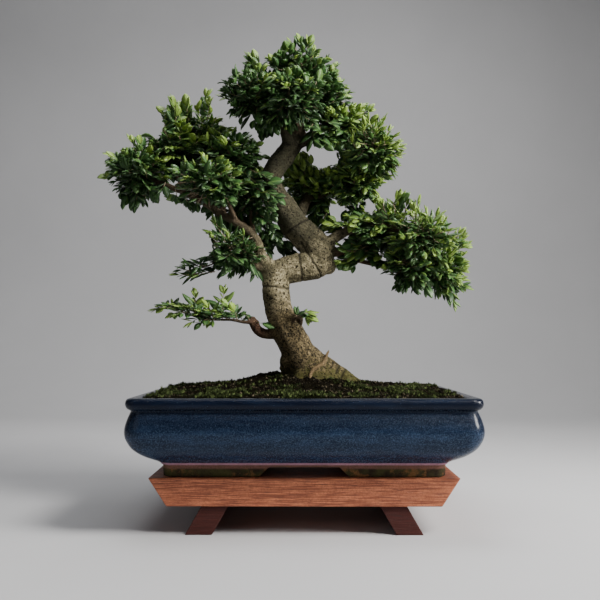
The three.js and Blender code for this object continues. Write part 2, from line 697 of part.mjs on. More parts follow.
const woodSolid = wood(0);
const woodClear = wood(WOOD_GAP);
const { solids: clouds, grown, coreClear } = foliage(woodClear);
const stems = Object.entries(LEAFY_STEMS).map(([name, stem], index) => [
  name,
  leafyStem(stem, STEM_SEED + index, [woodClear, ...coreClear], [...grown, ...coreClear]),
]);

const bonsai = new THREE.Group();
bonsai.add(piece('stand_board', standBoard(), 'board'));
bonsai.add(piece('stand_leg_left', standLeg(-1), 'leg'));
bonsai.add(piece('stand_leg_right', standLeg(1), 'leg'));
bonsai.add(piece('pot', geometryOf(pot()), 'glaze'));
bonsai.add(piece('drain_screen_left', geometryOf(drainScreen(-1, 0)), 'plastic'));
bonsai.add(piece('drain_screen_right', geometryOf(drainScreen(1, 0)), 'plastic'));
bonsai.add(piece('soil', geometryOf(soil(woodClear)), 'soil'));
bonsai.add(piece('trunk', geometryOf(woodSolid), 'bark'));
[...clouds, ...stems].forEach(([name, solid]) => {
  bonsai.add(piece(name, geometryOf(solid), 'leaf'));
});

// The whole is moved sideways so that the origin lies under its middle
const bounds = new THREE.Box3().setFromObject(bonsai);
const middle = bounds.getCenter(new THREE.Vector3());
bonsai.position.set(-middle.x, -middle.y, 0);
bonsai.updateMatrixWorld(true);

export default bonsai;
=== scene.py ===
"""A small elm trained as a bonsai, in a glazed pot on a low wooden stand.

Every length is in metres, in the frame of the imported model: X to the viewer's
right, Y away from the viewer, Z up, with the ground at zero. The tables and the
fields of the pieces are in millimetres from the middle of the pot.
"""

import logging
import math
import random
from dataclasses import dataclass, field
from enum import Enum
from functools import cache
from typing import Callable, Iterable, Iterator, NamedTuple, Sequence

import bmesh
import bpy
import numpy as np
from mathutils import Matrix, Vector, kdtree, noise


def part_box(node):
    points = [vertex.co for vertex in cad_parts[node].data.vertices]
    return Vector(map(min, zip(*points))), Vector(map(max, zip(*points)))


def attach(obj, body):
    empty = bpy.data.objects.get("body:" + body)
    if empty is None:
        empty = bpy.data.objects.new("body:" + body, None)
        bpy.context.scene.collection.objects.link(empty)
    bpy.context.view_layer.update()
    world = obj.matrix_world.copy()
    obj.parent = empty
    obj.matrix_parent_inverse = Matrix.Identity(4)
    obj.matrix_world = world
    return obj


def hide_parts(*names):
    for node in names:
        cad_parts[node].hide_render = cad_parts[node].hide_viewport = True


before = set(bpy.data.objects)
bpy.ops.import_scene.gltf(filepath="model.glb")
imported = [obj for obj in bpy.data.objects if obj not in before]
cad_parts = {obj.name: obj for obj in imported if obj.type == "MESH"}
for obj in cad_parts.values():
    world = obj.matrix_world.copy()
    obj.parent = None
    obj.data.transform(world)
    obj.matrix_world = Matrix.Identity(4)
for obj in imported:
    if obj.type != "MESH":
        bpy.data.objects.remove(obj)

LOG = logging.getLogger("bonsai")
MM = 0.001
BODY = "root"
Point = tuple[float, float, float]
Span = tuple[float, float]
Colour = tuple[float, float, float, float]
Limb = Sequence[tuple[float, float, float, float]]
Path = Sequence[tuple[Vector, float]]
Faces = list[tuple[int, ...]]
Socket = bpy.types.NodeSocket
Material = bpy.types.Material
Mesh = bpy.types.Mesh
Node = bpy.types.Node
NodeTree = bpy.types.NodeTree
Object = bpy.types.Object


def pot_centre() -> float:
    """Return how far right of the origin the middle of the pot stands."""
    low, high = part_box("pot")
    return (low.x + high.x) / 2


SHIFT = pot_centre()


def place(point: Sequence[float]) -> Vector:
    """Turn a point in millimetres from the middle of the pot into the frame.

    Args:
        point: X, Y and Z in millimetres; anything after them is left out.

    Returns:
        The same point in the frame, in metres.
    """
    return Vector((point[0] * MM + SHIFT, point[1] * MM, point[2] * MM))


CENTRE = place((0, 0, 0))


def bounded(value: float) -> float:
    """Return a value kept from 0 to 1."""
    return min(1.0, max(0.0, value))


def level_step(draw: random.Random) -> Vector:
    """Return a random level step, from -1 to 1 along X and Y."""
    return Vector((draw.uniform(-1, 1), draw.uniform(-1, 1), 0))


def free_step(draw: random.Random, low: float = -1, high: float = 1) -> Vector:
    """Return a random step that also goes up by low to high."""
    return level_step(draw) + Vector((0, 0, draw.uniform(low, high)))


# Shader and node trees


class Graph:
    """A node tree, with a short way to add nodes and to join them."""

    def __init__(self, tree: NodeTree) -> None:
        """Keep the tree that nodes are added to."""
        self.tree = tree

    def feed(self, socket: Socket, value: object) -> None:
        """Set an input to a plain value, or join a socket to it."""
        if isinstance(value, Socket):
            self.tree.links.new(value, socket)
        else:
            socket.default_value = value

    def add(self, kind: str, inputs: dict | None = None, **settings: object) -> Node:
        """Add a node.

        Args:
            kind: the node's type name.
            inputs: for each input, by name or number, a value or a socket.
            settings: the node's own properties.

        Returns:
            The new node.
        """
        node = self.tree.nodes.new(kind)
        for name, value in settings.items():
            setattr(node, name, value)
        for key, value in (inputs or {}).items():
            self.feed(node.inputs[key], value)
        return node

    def maths(self, operation: str, *values: object) -> Socket:
        """Return the result of a Math node on up to three values."""
        return self.add("ShaderNodeMath", dict(enumerate(values)), operation=operation).outputs[0]

    def times(self, first: object, second: object) -> Socket:
        """Return the product of two values."""
        return self.maths("MULTIPLY", first, second)

    def plus(self, first: object, second: object) -> Socket:
        """Return the sum of two values."""
        return self.maths("ADD", first, second)

    def mix(self, factor: object, first: object, second: object) -> Socket:
        """Return two colours mixed by a factor."""
        return self.add("ShaderNodeMix", {0: factor, 6: first, 7: second}, data_type="RGBA").outputs[2]

    def tint(self, colour: object, other: object, mask: object, share: object) -> Socket:
        """Return a colour with another one laid over it, at a share of a mask."""
        return self.mix(self.times(mask, share), colour, other)

    def ramp(self, value: object, low: object, high: object, smooth: bool = True) -> Socket:
        """Turn a value into a share.

        Args:
            value: the value.
            low: where the share is 0.
            high: where the share is 1.
            smooth: whether it eases in and out.

        Returns:
            The share, from 0 to 1.
        """
        inputs = {"Value": value, "From Min": low, "From Max": high}
        kind = "SMOOTHSTEP" if smooth else "LINEAR"
        return self.add("ShaderNodeMapRange", inputs, interpolation_type=kind).outputs["Result"]


class SharedEffects:
    """Shader node groups that several finishes use, each of them built once."""

    @staticmethod
    def start(name: str, inputs: dict[str, float], *outputs: str) -> tuple[Graph, Sequence[Socket]]:
        """Start a group that works on a vector and some numbers.

        Args:
            name: the group's name.
            inputs: the default of each input that is a number.
            outputs: the names of its outputs, which are numbers.

        Returns:
            The group's graph and what it is given.
        """
        tree = bpy.data.node_groups.new(name, "ShaderNodeTree")
        sockets = tree.interface
        sockets.new_socket(name="Vector", in_out="INPUT", socket_type="NodeSocketVector")
        for label, value in inputs.items():
            socket = sockets.new_socket(name=label, in_out="INPUT", socket_type="NodeSocketFloat")
            socket.default_value = value
        for label in outputs:
            sockets.new_socket(name=label, in_out="OUTPUT", socket_type="NodeSocketFloat")
        graph = Graph(tree)
        return graph, graph.add("NodeGroupInput").outputs

    @staticmethod
    @cache
    def mottle() -> NodeTree:
        """Return the group that gives soft blotches from 0 to 1."""
        defaults = {"Scale": 30.0, "Roughness": 0.6, "Low": 0.4, "High": 0.6}
        graph, given = SharedEffects.start("mottle", defaults, "Mask")
        inputs = {name: given[name] for name in ("Vector", "Scale", "Roughness")}
        cloudy = graph.add("ShaderNodeTexNoise", {**inputs, "Detail": 5.0})
        mask = graph.ramp(cloudy.outputs["Fac"], given["Low"], given["High"])
        graph.add("NodeGroupOutput", {"Mask": mask})
        return graph.tree

    @staticmethod
    @cache
    def specks() -> NodeTree:
        """Return the group that gives small round specks, 1 inside each."""
        defaults = {"Scale": 300.0, "Size": 0.25, "Share": 0.5}
        graph, given = SharedEffects.start("specks", defaults, "Mask")
        inputs = {name: given[name] for name in ("Vector", "Scale")}
        cells = graph.add("ShaderNodeTexVoronoi", inputs).outputs
        soft = graph.ramp(graph.maths("SUBTRACT", given["Size"], cells["Distance"]), 0.0, 0.12)
        parts = graph.add("ShaderNodeSeparateColor", {"Color": cells["Color"]})
        kept = graph.maths("LESS_THAN", parts.outputs[0], given["Share"])
        graph.add("NodeGroupOutput", {"Mask": graph.times(soft, kept)})
        return graph.tree

    @staticmethod
    @cache
    def grain() -> NodeTree:
        """Return the group that gives long wood grain along X, from 0 to 1."""
        graph, given = SharedEffects.start("grain", {"Scale": 160.0, "Length": 0.05}, "Figure", "Pores")
        parts = graph.add("ShaderNodeSeparateXYZ", {"Vector": given["Vector"]}).outputs
        along = graph.times(parts[0], given["Length"])
        drawn = graph.add("ShaderNodeCombineXYZ", {0: along, 1: parts[1], 2: parts[2]}).outputs[0]
        lines = {"Vector": drawn, "Scale": given["Scale"], "Detail": 4.0, "Distortion": 0.1}
        figure = graph.add("ShaderNodeTexNoise", lines).outputs["Fac"]
        finer = {"Vector": drawn, "Scale": graph.times(given["Scale"], 1.7), "Detail": 3.0}
        pores = graph.add("ShaderNodeTexNoise", finer).outputs["Fac"]
        masks = {"Figure": graph.ramp(figure, 0.35, 0.65), "Pores": graph.ramp(pores, 0.56, 0.7)}
        graph.add("NodeGroupOutput", masks)
        return graph.tree


class Dress(Graph):
    """One material under construction: a Principled shader and its nodes."""

    def __init__(self, name: str) -> None:
        """Start the material with a plain Principled shader."""
        self.material = bpy.data.materials.new(name)
        self.material.use_nodes = True
        super().__init__(self.material.node_tree)
        self.tree.nodes.clear()
        self.shader = self.add("ShaderNodeBsdfPrincipled")
        self.add("ShaderNodeOutputMaterial", {"Surface": self.shader.outputs[0]})
        self.spot = self.add("ShaderNodeTexCoord").outputs["Object"]

    def height(self) -> Socket:
        """Return how high a point lies."""
        return self.add("ShaderNodeSeparateXYZ", {"Vector": self.spot}).outputs[2]

    def attribute(self, name: str) -> Socket:
        """Return a value that the mesh carries at each of its points."""
        return self.add("ShaderNodeAttribute", attribute_name=name).outputs["Fac"]

    def group(self, tree: NodeTree, **values: object) -> Sequence[Socket]:
        """Place a shared group, on Object coordinates unless told otherwise."""
        return self.add("ShaderNodeGroup", {"Vector": self.spot, **values}, node_tree=tree).outputs

    def mottle(self, scale: float, low: float, high: float, rough: float = 0.6, **more: Socket) -> Socket:
        """Return soft blotches, where a noise of a scale goes from low to high."""
        values = {"Scale": scale, "Low": low, "High": high, "Roughness": rough}
        return self.group(SharedEffects.mottle(), **values, **more)[0]

    def specks(self, scale: float, size: float, share: float, **more: Socket) -> Socket:
        """Return specks of a size, in a share of the cells of a scale."""
        return self.group(SharedEffects.specks(), Scale=scale, Size=size, Share=share, **more)[0]

    def grain(self, scale: float, length: float) -> tuple[Socket, Socket]:
        """Return the figure and the pores of wood grain."""
        drawn = self.group(SharedEffects.grain(), Scale=scale, Length=length)
        return drawn["Figure"], drawn["Pores"]

    def done(
        self, colour: object, rough: object, shine: float, relief: object, depth: float, coat: Span = (0, 0)
    ) -> Material:
        """Finish the material.

        Args:
            colour: its colour.
            rough: how rough it is.
            shine: how strongly it reflects.
            relief: the height of its fine relief, from 0 to 1.
            depth: the depth of the relief in metres.
            coat: the weight and the roughness of a clear coat.

        Returns:
            The finished material.
        """
        bump = self.add("ShaderNodeBump", {"Height": relief, "Distance": depth, "Strength": 1.0})
        inputs = {"Base Color": colour, "Roughness": rough, "Specular IOR Level": shine}
        if coat[0]:
            inputs.update({"Coat Weight": coat[0], "Coat Roughness": coat[1]})
        inputs["Normal"] = bump.outputs[0]
        for name, value in inputs.items():
            self.feed(self.shader.inputs[name], value)
        return self.material


# Finishes


@dataclass(frozen=True)
class BarkFinish:
    """Tan and grey bark with dark dots, greener low down and redder when thin, with painted shade on the
    upper trunk.
    """

    light: Colour = (0.67, 0.575, 0.335, 1)
    grey: Colour = (0.225, 0.195, 0.105, 1)
    # Painted shade: the colour that the upper trunk is mixed towards, most of all under the crown.
    shaded: Colour = (0.040, 0.040, 0.022, 1)
    shade: Colour = (0.022, 0.018, 0.008, 1)
    warm: Colour = (0.215, 0.150, 0.066, 1)
    red: Colour = (0.105, 0.045, 0.028, 1)
    twig: Colour = (0.100, 0.070, 0.042, 1)
    shoot: Colour = (0.12, 0.14, 0.035, 1)
    moss: Colour = (0.092, 0.088, 0.022, 1)
    dot: Colour = (0.012, 0.009, 0.005, 1)
    root: Colour = (0.235, 0.160, 0.080, 1)
    scaly_from: Span = (0.300, 0.235)
    shaded_from: Span = (0.300, 0.385)
    crown_shade_from: Span = (0.425, 0.460)
    mossy_from: Span = (0.215, 0.172)
    damp_from: Span = (0.192, 0.176)

    def weathered_and_painted_shade(self, dress: Dress, patches: Socket, fine: Socket) -> Socket:
        """Return the bark's colour by how high it is, under patches and fine spots, with painted shade high
        up.
        """
        height = dress.height()
        scaly = dress.ramp(height, *self.scaly_from)
        colour = dress.mix(dress.mottle(42.0, 0.38, 0.62), self.light, self.grey)
        colour = dress.tint(colour, self.warm, scaly, 0.85)
        colour = dress.tint(colour, self.shade, patches, dress.plus(dress.times(scaly, 0.3), 0.18))
        # Painted shade: higher up, the trunk turns towards the shaded colour, a little more under the crown.
        painted_canopy_shade = dress.times(dress.ramp(height, *self.shaded_from), 0.85)
        painted_crown_shade = dress.times(dress.ramp(height, *self.crown_shade_from), 0.09)
        colour = dress.mix(dress.plus(painted_canopy_shade, painted_crown_shade), colour, self.shaded)
        colour = dress.tint(colour, self.shade, fine, dress.plus(dress.times(scaly, 0.25), 0.66))
        damp = dress.plus(patches, dress.ramp(height, *self.damp_from))
        mossy = dress.times(dress.ramp(height, *self.mossy_from), damp)
        return dress.mix(dress.maths("MINIMUM", mossy, 0.85), colour, self.moss)

    def marks(self, dress: Dress, thick: Socket) -> Socket:
        """Return the mask of the dark dots on thick limbs and of the wire marks."""
        drift = dress.add("ShaderNodeTexNoise", {"Vector": dress.spot, "Scale": 210.0, "Detail": 3.0})
        inputs = {0: drift.outputs["Color"], 1: (0.008, 0.008, 0.008), 2: dress.spot}
        warped = dress.add("ShaderNodeVectorMath", inputs, operation="MULTIPLY_ADD").outputs[0]
        dots = dress.specks(310.0, 0.42, 0.45, Vector=warped)
        larger = dress.specks(140.0, 0.30, 0.4, Vector=warped)
        spots = dress.times(dress.maths("MAXIMUM", dots, larger), dress.ramp(thick, 0.3, 0.6))
        return dress.maths("MAXIMUM", dress.times(spots, 0.9), dress.attribute("scar"))

    def build(self) -> Material:
        """Return the bark material."""
        dress = Dress("bark")
        patches = dress.mottle(150.0, 0.46, 0.62, 0.7)
        fine = dress.mottle(430.0, 0.42, 0.62, 0.8)
        thick = dress.attribute("thickness")
        colour = self.weathered_and_painted_shade(dress, patches, fine)
        colour = dress.mix(dress.ramp(thick, 0.62, 0.25), colour, self.twig)
        colour = dress.mix(dress.ramp(thick, 0.085, 0.03), colour, self.shoot)
        colour = dress.tint(colour, self.red, dress.attribute("redness"), 0.8)
        dark = self.marks(dress, thick)
        colour = dress.mix(dark, colour, self.dot)
        rooty = dress.tint(self.root, self.warm, fine, 0.35)
        colour = dress.mix(dress.attribute("bare"), colour, rooty)
        rise = dress.plus(fine, dress.times(patches, -0.8))
        relief = dress.maths("SUBTRACT", rise, dress.times(dark, 1.4))
        return dress.done(colour, 0.82, 0.18, relief, 0.0013)


@dataclass(frozen=True)
class LeafFinish:
    """A glossy leaf, from old and dark to young and yellow-green; its tone also carries painted light, paler
    where leaves face the key lamp.
    """

    old: Colour = (0.014, 0.041, 0.011, 1)
    full: Colour = (0.051, 0.128, 0.031, 1)
    young: Colour = (0.235, 0.36, 0.055, 1)
    rib: Colour = (0.20, 0.30, 0.08, 1)

    def build(self) -> Material:
        """Return the leaf material."""
        dress = Dress("leaf")
        tone = dress.attribute("tone")
        colour = dress.mix(dress.ramp(tone, 0.0, 0.5), self.old, self.full)
        colour = dress.mix(dress.ramp(tone, 0.45, 1.0), colour, self.young)
        blotch = dress.mottle(240.0, 0.3, 0.8)
        colour = dress.tint(colour, self.old, blotch, 0.4)
        middle = dress.ramp(dress.maths("ABSOLUTE", dress.attribute("across")), 0.16, 0.03)
        colour = dress.tint(colour, self.rib, middle, 0.4)
        rough = dress.ramp(blotch, -1.9, 3.6, smooth=False)
        return dress.done(colour, rough, 0.42, dress.plus(middle, blotch), 0.0002)


class GlazeZone(Enum):
    """The parts of the pot that are finished differently."""

    GLAZE = 0
    CLAY = 1
    FEET = 2


@dataclass(frozen=True)
class GlazeFinish:
    """Deep blue glaze with paler specks and faint level bands, painted paler low on the belly as a
    reflection of the floor, and darker along the top of the rim.
    """

    deep: Colour = (0.0022, 0.0045, 0.0130, 1)
    pale: Colour = (0.021, 0.046, 0.104, 1)
    speck: Colour = (0.060, 0.108, 0.190, 1)
    edge: Colour = (0.006, 0.009, 0.014, 1)
    band_stretch: Point = (0.16, 0.16, 1.0)
    floor_reflection_from: Span = (0.130, 0.112)
    calm_from: Span = (0.151, 0.143)
    rim_top_from: Span = (0.1560, 0.1575)

    def build(self) -> Material:
        """Return the glaze material."""
        dress = Dress("blue_glaze")
        height = dress.height()
        run = dress.add("ShaderNodeMapping", {"Vector": dress.spot, "Scale": self.band_stretch}).outputs[0]
        bands = dress.mottle(130.0, 0.42, 0.66, Vector=run)
        grains = dress.mottle(640.0, 0.47, 0.61, 0.9)
        # Painted reflection: low on the belly the glaze turns paler, with stronger bands and more pale
        # specks, for the floor mirrored in it.
        lower = dress.ramp(height, *self.floor_reflection_from)
        banded = dress.times(bands, dress.plus(dress.times(lower, 0.2), 0.1))
        colour = dress.mix(dress.plus(dress.times(lower, 0.2), banded), self.deep, self.pale)
        calm = dress.ramp(height, *self.calm_from)
        specks_and_painted_reflection = dress.plus(dress.times(lower, 0.34), dress.times(calm, 0.18))
        colour = dress.tint(colour, self.speck, grains, specks_and_painted_reflection)
        colour = dress.tint(colour, self.speck, dress.specks(420.0, 0.22, 0.18), 0.5)
        # Darker along the top of the rim.
        colour = dress.tint(colour, self.edge, dress.ramp(height, *self.rim_top_from), 0.5)
        rough = dress.ramp(grains, -1.1, 6.0, smooth=False)
        return dress.done(colour, rough, 0.08, dress.plus(grains, bands), 0.00007, coat=(0.16, 0.07))


@dataclass(frozen=True)
class ClayFinish:
    """Raw clay, and the dark, rusty and mossy look of the feet under it, with painted shade darkening the
    feet towards the bottom.
    """

    name: str
    light: Colour
    dark: Colour
    stain: Colour
    rust: Colour
    weathered_and_painted_shade: float
    foot_shade_from: Span = (0.0765, 0.0735)

    def build(self) -> Material:
        """Return the clay material."""
        dress = Dress(self.name)
        blotch = dress.mottle(60.0, 0.35, 0.65)
        fine = dress.mottle(520.0, 0.35, 0.75)
        rusty = dress.mottle(48.0, 0.5, 0.62, 0.75)
        clay = dress.tint(self.light, self.stain, fine, 0.5)
        grime_and_shade = dress.tint(dress.mix(blotch, self.dark, self.stain), self.rust, rusty, self.weathered_and_painted_shade)
        # Painted shade: below the pot's underside the feet turn to the dark blotchy colour, fully so on
        # their lower part.
        painted_foot_shade = dress.times(dress.ramp(dress.height(), *self.foot_shade_from), self.weathered_and_painted_shade)
        colour = dress.mix(dress.maths("MAXIMUM", painted_foot_shade, dress.times(blotch, 0.3)), clay, grime_and_shade)
        return dress.done(colour, 0.85, 0.2, fine, 0.0004)


@dataclass(frozen=True)
class TimberFinish:
    """Oiled hardwood with long grain along the stand."""

    name: str
    light: Colour
    dark: Colour
    pore: Colour
    fine: float = 880.0
    gloss: float = 0.45
    sheen: float = 0.3

    def build(self) -> Material:
        """Return the timber material."""
        dress = Dress(self.name)
        figure, pores = dress.grain(self.fine, 0.04)
        broad = dress.grain(self.fine / 6, 0.05)[0]
        streaks = dress.grain(self.fine * 0.8, 0.018)[0]
        sandy = dress.mottle(self.fine * 0.55, 0.46, 0.58, 0.9)
        colour = self.light
        for other, mask, share in (
            (self.dark, figure, 0.85),
            (self.dark, broad, 0.10),
            (self.dark, sandy, 0.50),
            (self.pore, pores, 0.85),
            (self.dark, streaks, 0.34),
        ):
            colour = dress.tint(colour, other, mask, share)
        return dress.done(colour, self.gloss, self.sheen, dress.maths("SUBTRACT", figure, pores), 0.00025)


@dataclass(frozen=True)
class SoilFinish:
    """Dark crumbly soil with green moss and browner patches."""

    soil: Colour = (0.004, 0.0032, 0.002, 1)
    crumb: Colour = (0.020, 0.017, 0.011, 1)
    moss: Colour = (0.005, 0.0065, 0.002, 1)
    bright: Colour = (0.018, 0.021, 0.007, 1)

    def build(self) -> Material:
        """Return the soil material."""
        dress = Dress("mossy_soil")
        fine = dress.mottle(420.0, 0.4, 0.68, 0.8)
        green = dress.attribute("moss")
        colour = dress.mix(green, dress.mix(fine, self.soil, self.crumb), self.moss)
        colour = dress.tint(colour, self.bright, dress.ramp(green, 0.75, 1.0), fine)
        return dress.done(colour, 0.95, 0.0, fine, 0.0012)


@dataclass(frozen=True)
class TuftFinish:
    """Moss shoots and grit, whose colour goes with a value on each copy."""

    name: str
    low: Colour
    high: Colour

    def build(self) -> Material:
        """Return the material for small repeats on the soil."""
        dress = Dress(self.name)
        fine = dress.mottle(600.0, 0.3, 0.8)
        colour = dress.mix(dress.attribute("tone"), self.low, self.high)
        return dress.done(dress.tint(colour, self.low, fine, 0.5), 0.9, 0.05, fine, 0.0003)


@dataclass(frozen=True)
class PlainFinish:
    """A nearly plain surface with a faint mottle, such as plastic or paper."""

    name: str
    colour: Colour
    mottled: Colour
    roughness: float
    scale: float = 40.0

    def build(self) -> Material:
        """Return the plain material."""
        dress = Dress(self.name)
        blotch = dress.mottle(self.scale, 0.3, 0.7)
        colour = dress.mix(blotch, self.colour, self.mottled)
        return dress.done(colour, self.roughness, 0.3, blotch, 0.0001)


# Meshes


def new_object(name: str, points: Iterable, faces: Iterable, smooth: bool = True) -> Object:
    """Make an object of a mesh and show it in the scene.

    Args:
        name: the object's name.
        points: its corners in the frame.
        faces: its faces as corner numbers, counter-clockwise from outside.
        smooth: whether its faces are shaded smooth.

    Returns:
        The new object, at the origin.
    """
    mesh = bpy.data.meshes.new(name)
    mesh.from_pydata([tuple(point) for point in points], [], [tuple(face) for face in faces])
    mesh.update()
    if smooth:
        mesh.shade_smooth()
    made = bpy.data.objects.new(name, mesh)
    bpy.context.scene.collection.objects.link(made)
    return made


def baked(made: Object) -> Object:
    """Apply all of an object's modifiers to its mesh, and return it."""
    graph = bpy.context.evaluated_depsgraph_get()
    graph.update()
    ready = made.evaluated_get(graph)
    plain = bpy.data.meshes.new_from_object(ready, preserve_all_data_layers=True, depsgraph=graph)
    made.modifiers.clear()
    old = made.data
    made.data = plain
    bpy.data.meshes.remove(old)
    plain.name = made.name
    return made


def settle(made: Object, nodes: Sequence[str] = ()) -> None:
    """Let a piece ride on the body, and stand for the solids it replaces.

    Args:
        made: the finished piece.
        nodes: the solids that it replaces.
    """
    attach(made, BODY)
    if nodes:
        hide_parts(*nodes)
    LOG.info("%s: %d faces", made.name, len(made.data.polygons))


def store(mesh: Mesh, name: str, values: Sequence, kind: str = "FLOAT") -> None:
    """Store a number or a vector for each point of a mesh."""
    layer = mesh.attributes.new(name, kind, "POINT")
    numbers = np.asarray(values, np.int32 if kind == "INT" else np.float32)
    layer.data.foreach_set("vector" if kind == "FLOAT_VECTOR" else "value", numbers.ravel())


def correct_normals(made: Object) -> None:
    """Turn all faces of a closed mesh outwards."""
    shape = bmesh.new()
    shape.from_mesh(made.data)
    bmesh.ops.recalc_face_normals(shape, faces=shape.faces)
    shape.to_mesh(made.data)
    shape.free()


def catmull(before: Vector, start: Vector, end: Vector, after: Vector, share: float) -> Vector:
    """Return a point between start and end on a centripetal smooth curve."""
    knots = [0.0]
    for first, second in ((before, start), (start, end), (end, after)):
        knots.append(knots[-1] + max((second - first).length, 1e-7) ** 0.5)
    here = knots[1] + (knots[2] - knots[1]) * share

    def blend(first: Vector, second: Vector, low: int, high: int) -> Vector:
        """Mix two points by where the curve is between two knots."""
        reach = knots[high] - knots[low]
        return first * ((knots[high] - here) / reach) + second * ((here - knots[low]) / reach)

    early = blend(blend(before, start, 0, 1), blend(start, end, 1, 2), 0, 2)
    late = blend(blend(start, end, 1, 2), blend(end, after, 2, 3), 1, 3)
    return blend(early, late, 1, 2)


def stretches(spots: Sequence[Vector]) -> Iterator[tuple[Vector, Vector, Vector, Vector]]:
    """Yield each stretch's ends, after the point before it and ahead of the next one."""
    for index in range(len(spots) - 1):
        start, end = spots[index], spots[index + 1]
        before = spots[index - 1] if index else start * 2 - end
        after = spots[index + 2] if index + 2 < len(spots) else end * 2 - start
        yield before, start, end, after


def smooth_path(points: Limb, step: float) -> list[tuple[Vector, float]]:
    """Draw a smooth path through points, each with a radius.

    Args:
        points: X, Y, Z and radius in millimetres from the middle of the pot.
        step: the longest distance between two places on the path, in metres.

    Returns:
        Places on the path in the frame, each with its radius in metres.
    """
    spots = [place(point) for point in points]
    radii = [point[3] * MM for point in points]
    drawn: list[tuple[Vector, float]] = []
    for index, stretch in enumerate(stretches(spots)):
        pieces = max(2, math.ceil((stretch[2] - stretch[1]).length / step))
        for piece in range(pieces):
            share = piece / pieces
            eased = share * share * (3 - 2 * share)
            drawn.append((catmull(*stretch, share), radii[index] * (1 - eased) + radii[index + 1] * eased))
    drawn.append((spots[-1], radii[-1]))
    return drawn


def evened(rings: Sequence[Point], pieces: int) -> list[Point]:
    """Return a smooth profile through rings, with some pieces between two of them."""
    finer = []
    for stretch in stretches([Vector(ring) for ring in rings]):
        finer += [tuple(catmull(*stretch, piece / pieces)) for piece in range(pieces)]
    return [*finer, tuple(Vector(rings[-1]))]


def skinned(rings: Sequence[Sequence[Vector]]) -> tuple[list[Vector], Faces]:
    """Return the corners and faces of a skin over rings, closed at both ends."""
    sides = len(rings[0])
    last = (len(rings) - 1) * sides
    faces: Faces = []
    for row in range(0, last, sides):
        for side in range(sides):
            after = (side + 1) % sides
            faces.append((row + side, row + after, row + sides + after, row + sides + side))
    faces += [tuple(reversed(range(sides))), tuple(range(last, last + sides))]
    return [point for ring in rings for point in ring], faces


def tube(
    path: Path, sides: int, relief: Callable[[float, float], float] | None = None
) -> tuple[list[Vector], Faces]:
    """Make a closed round tube along a path.

    Args:
        path: places with their radii.
        sides: how many sides the tube has.
        relief: a factor on the radius from the angle and the distance along.

    Returns:
        The tube's corners and its faces.
    """
    rings = []
    normal = Vector((0.3, 1.0, 0.2))
    along = 0.0
    for index, (spot, radius) in enumerate(path):
        ahead = path[min(index + 1, len(path) - 1)][0]
        behind = path[max(index - 1, 0)][0]
        tangent = (ahead - behind).normalized()
        normal = (normal - tangent * normal.dot(tangent)).normalized()
        across = tangent.cross(normal)
        if index:
            along += (spot - path[index - 1][0]).length
        ring = []
        for angle in (side / sides * math.tau for side in range(sides)):
            swell = relief(angle, along) if relief else 1.0
            reach = normal * math.cos(angle) + across * math.sin(angle)
            ring.append(spot + reach * radius * swell)
        rings.append(ring)
    return skinned(rings)


class MeshHeap:
    """Corners and faces gathered from many small shapes."""

    def __init__(self) -> None:
        """Start with nothing in it."""
        self.points: list[Vector] = []
        self.faces: Faces = []

    def add(self, points: Sequence[Vector], faces: Sequence[tuple[int, ...]]) -> None:
        """Add one shape's corners and faces."""
        start = len(self.points)
        self.points.extend(points)
        self.faces.extend(tuple(corner + start for corner in face) for face in faces)


# The stand


@dataclass
class Stand:
    """The board whose ends slope in, and the two legs that splay out."""

    leg_height: float = 33
    leg_width: float = 31
    leg_foot_out: float = 137
    leg_top_out: float = 118
    leg_set_back: float = 4
    board_top: float = 65
    board_top_length: float = 359
    board_under_length: float = 316
    board_depth: float = 238
    board_edge: float = 1.3
    leg_edge: float = 0.9
    edge_steps: int = 3
    oiled: TimberFinish = TimberFinish(
        "red_timber", (0.72, 0.245, 0.115, 1), (0.17, 0.045, 0.023, 1), (0.04, 0.011, 0.007, 1)
    )
    # The legs: the board's timber darkened as painted shade for their place under the board.
    timber_in_painted_shade: TimberFinish = TimberFinish(
        "dark_timber",
        *((0.080, 0.024, 0.020, 1), (0.050, 0.015, 0.012, 1), (0.024, 0.008, 0.007, 1)),
        gloss=0.5,
        sheen=0.15,
    )

    def prism(self, name: str, outline: Sequence[Span], depth: float, edge: float) -> Object:
        """Make a piece from an outline in X and Z, with softened edges.

        Args:
            name: the piece's name.
            outline: its corners, clockwise seen from the front.
            depth: its size along Y.
            edge: the width of the softened edge.

        Returns:
            The new piece.
        """
        rings = [[place((x, side * depth / 2, z)) for x, z in outline] for side in (-1, 1)]
        made = new_object(name, *skinned(rings), smooth=False)
        soften = made.modifiers.new("edge", "BEVEL")
        soften.width = edge * MM
        soften.segments = self.edge_steps
        soften.limit_method = "ANGLE"
        return baked(made)

    def board(self) -> None:
        """Make the board."""
        under, top = self.board_under_length / 2, self.board_top_length / 2
        outline = [(-under, self.leg_height), (-top, self.board_top)]
        outline += [(-x, z) for x, z in reversed(outline)]
        made = self.prism("stand_board_oiled", outline, self.board_depth, self.board_edge)
        made.data.materials.append(self.oiled.build())
        settle(made, ["stand_board"])

    def leg(self, word: str, side: int, finish: Material) -> None:
        """Make the leg on one side, -1 for the left one."""
        foot, top, width = self.leg_foot_out, self.leg_top_out, self.leg_width
        outline = [(foot - width, 0), (top - width, self.leg_height), (top, self.leg_height), (foot, 0)]
        outline = [(side * x, z) for x, z in outline[::side]]
        depth = self.board_depth - 2 * self.leg_set_back
        made = self.prism(f"stand_leg_{word}_stained", outline, depth, self.leg_edge)
        made.data.materials.append(finish)
        settle(made, [f"stand_leg_{word}"])

    def build(self) -> None:
        """Make the whole stand."""
        self.board()
        finish = self.timber_in_painted_shade.build()
        self.leg("left", -1, finish)
        self.leg("right", 1, finish)


# The pot


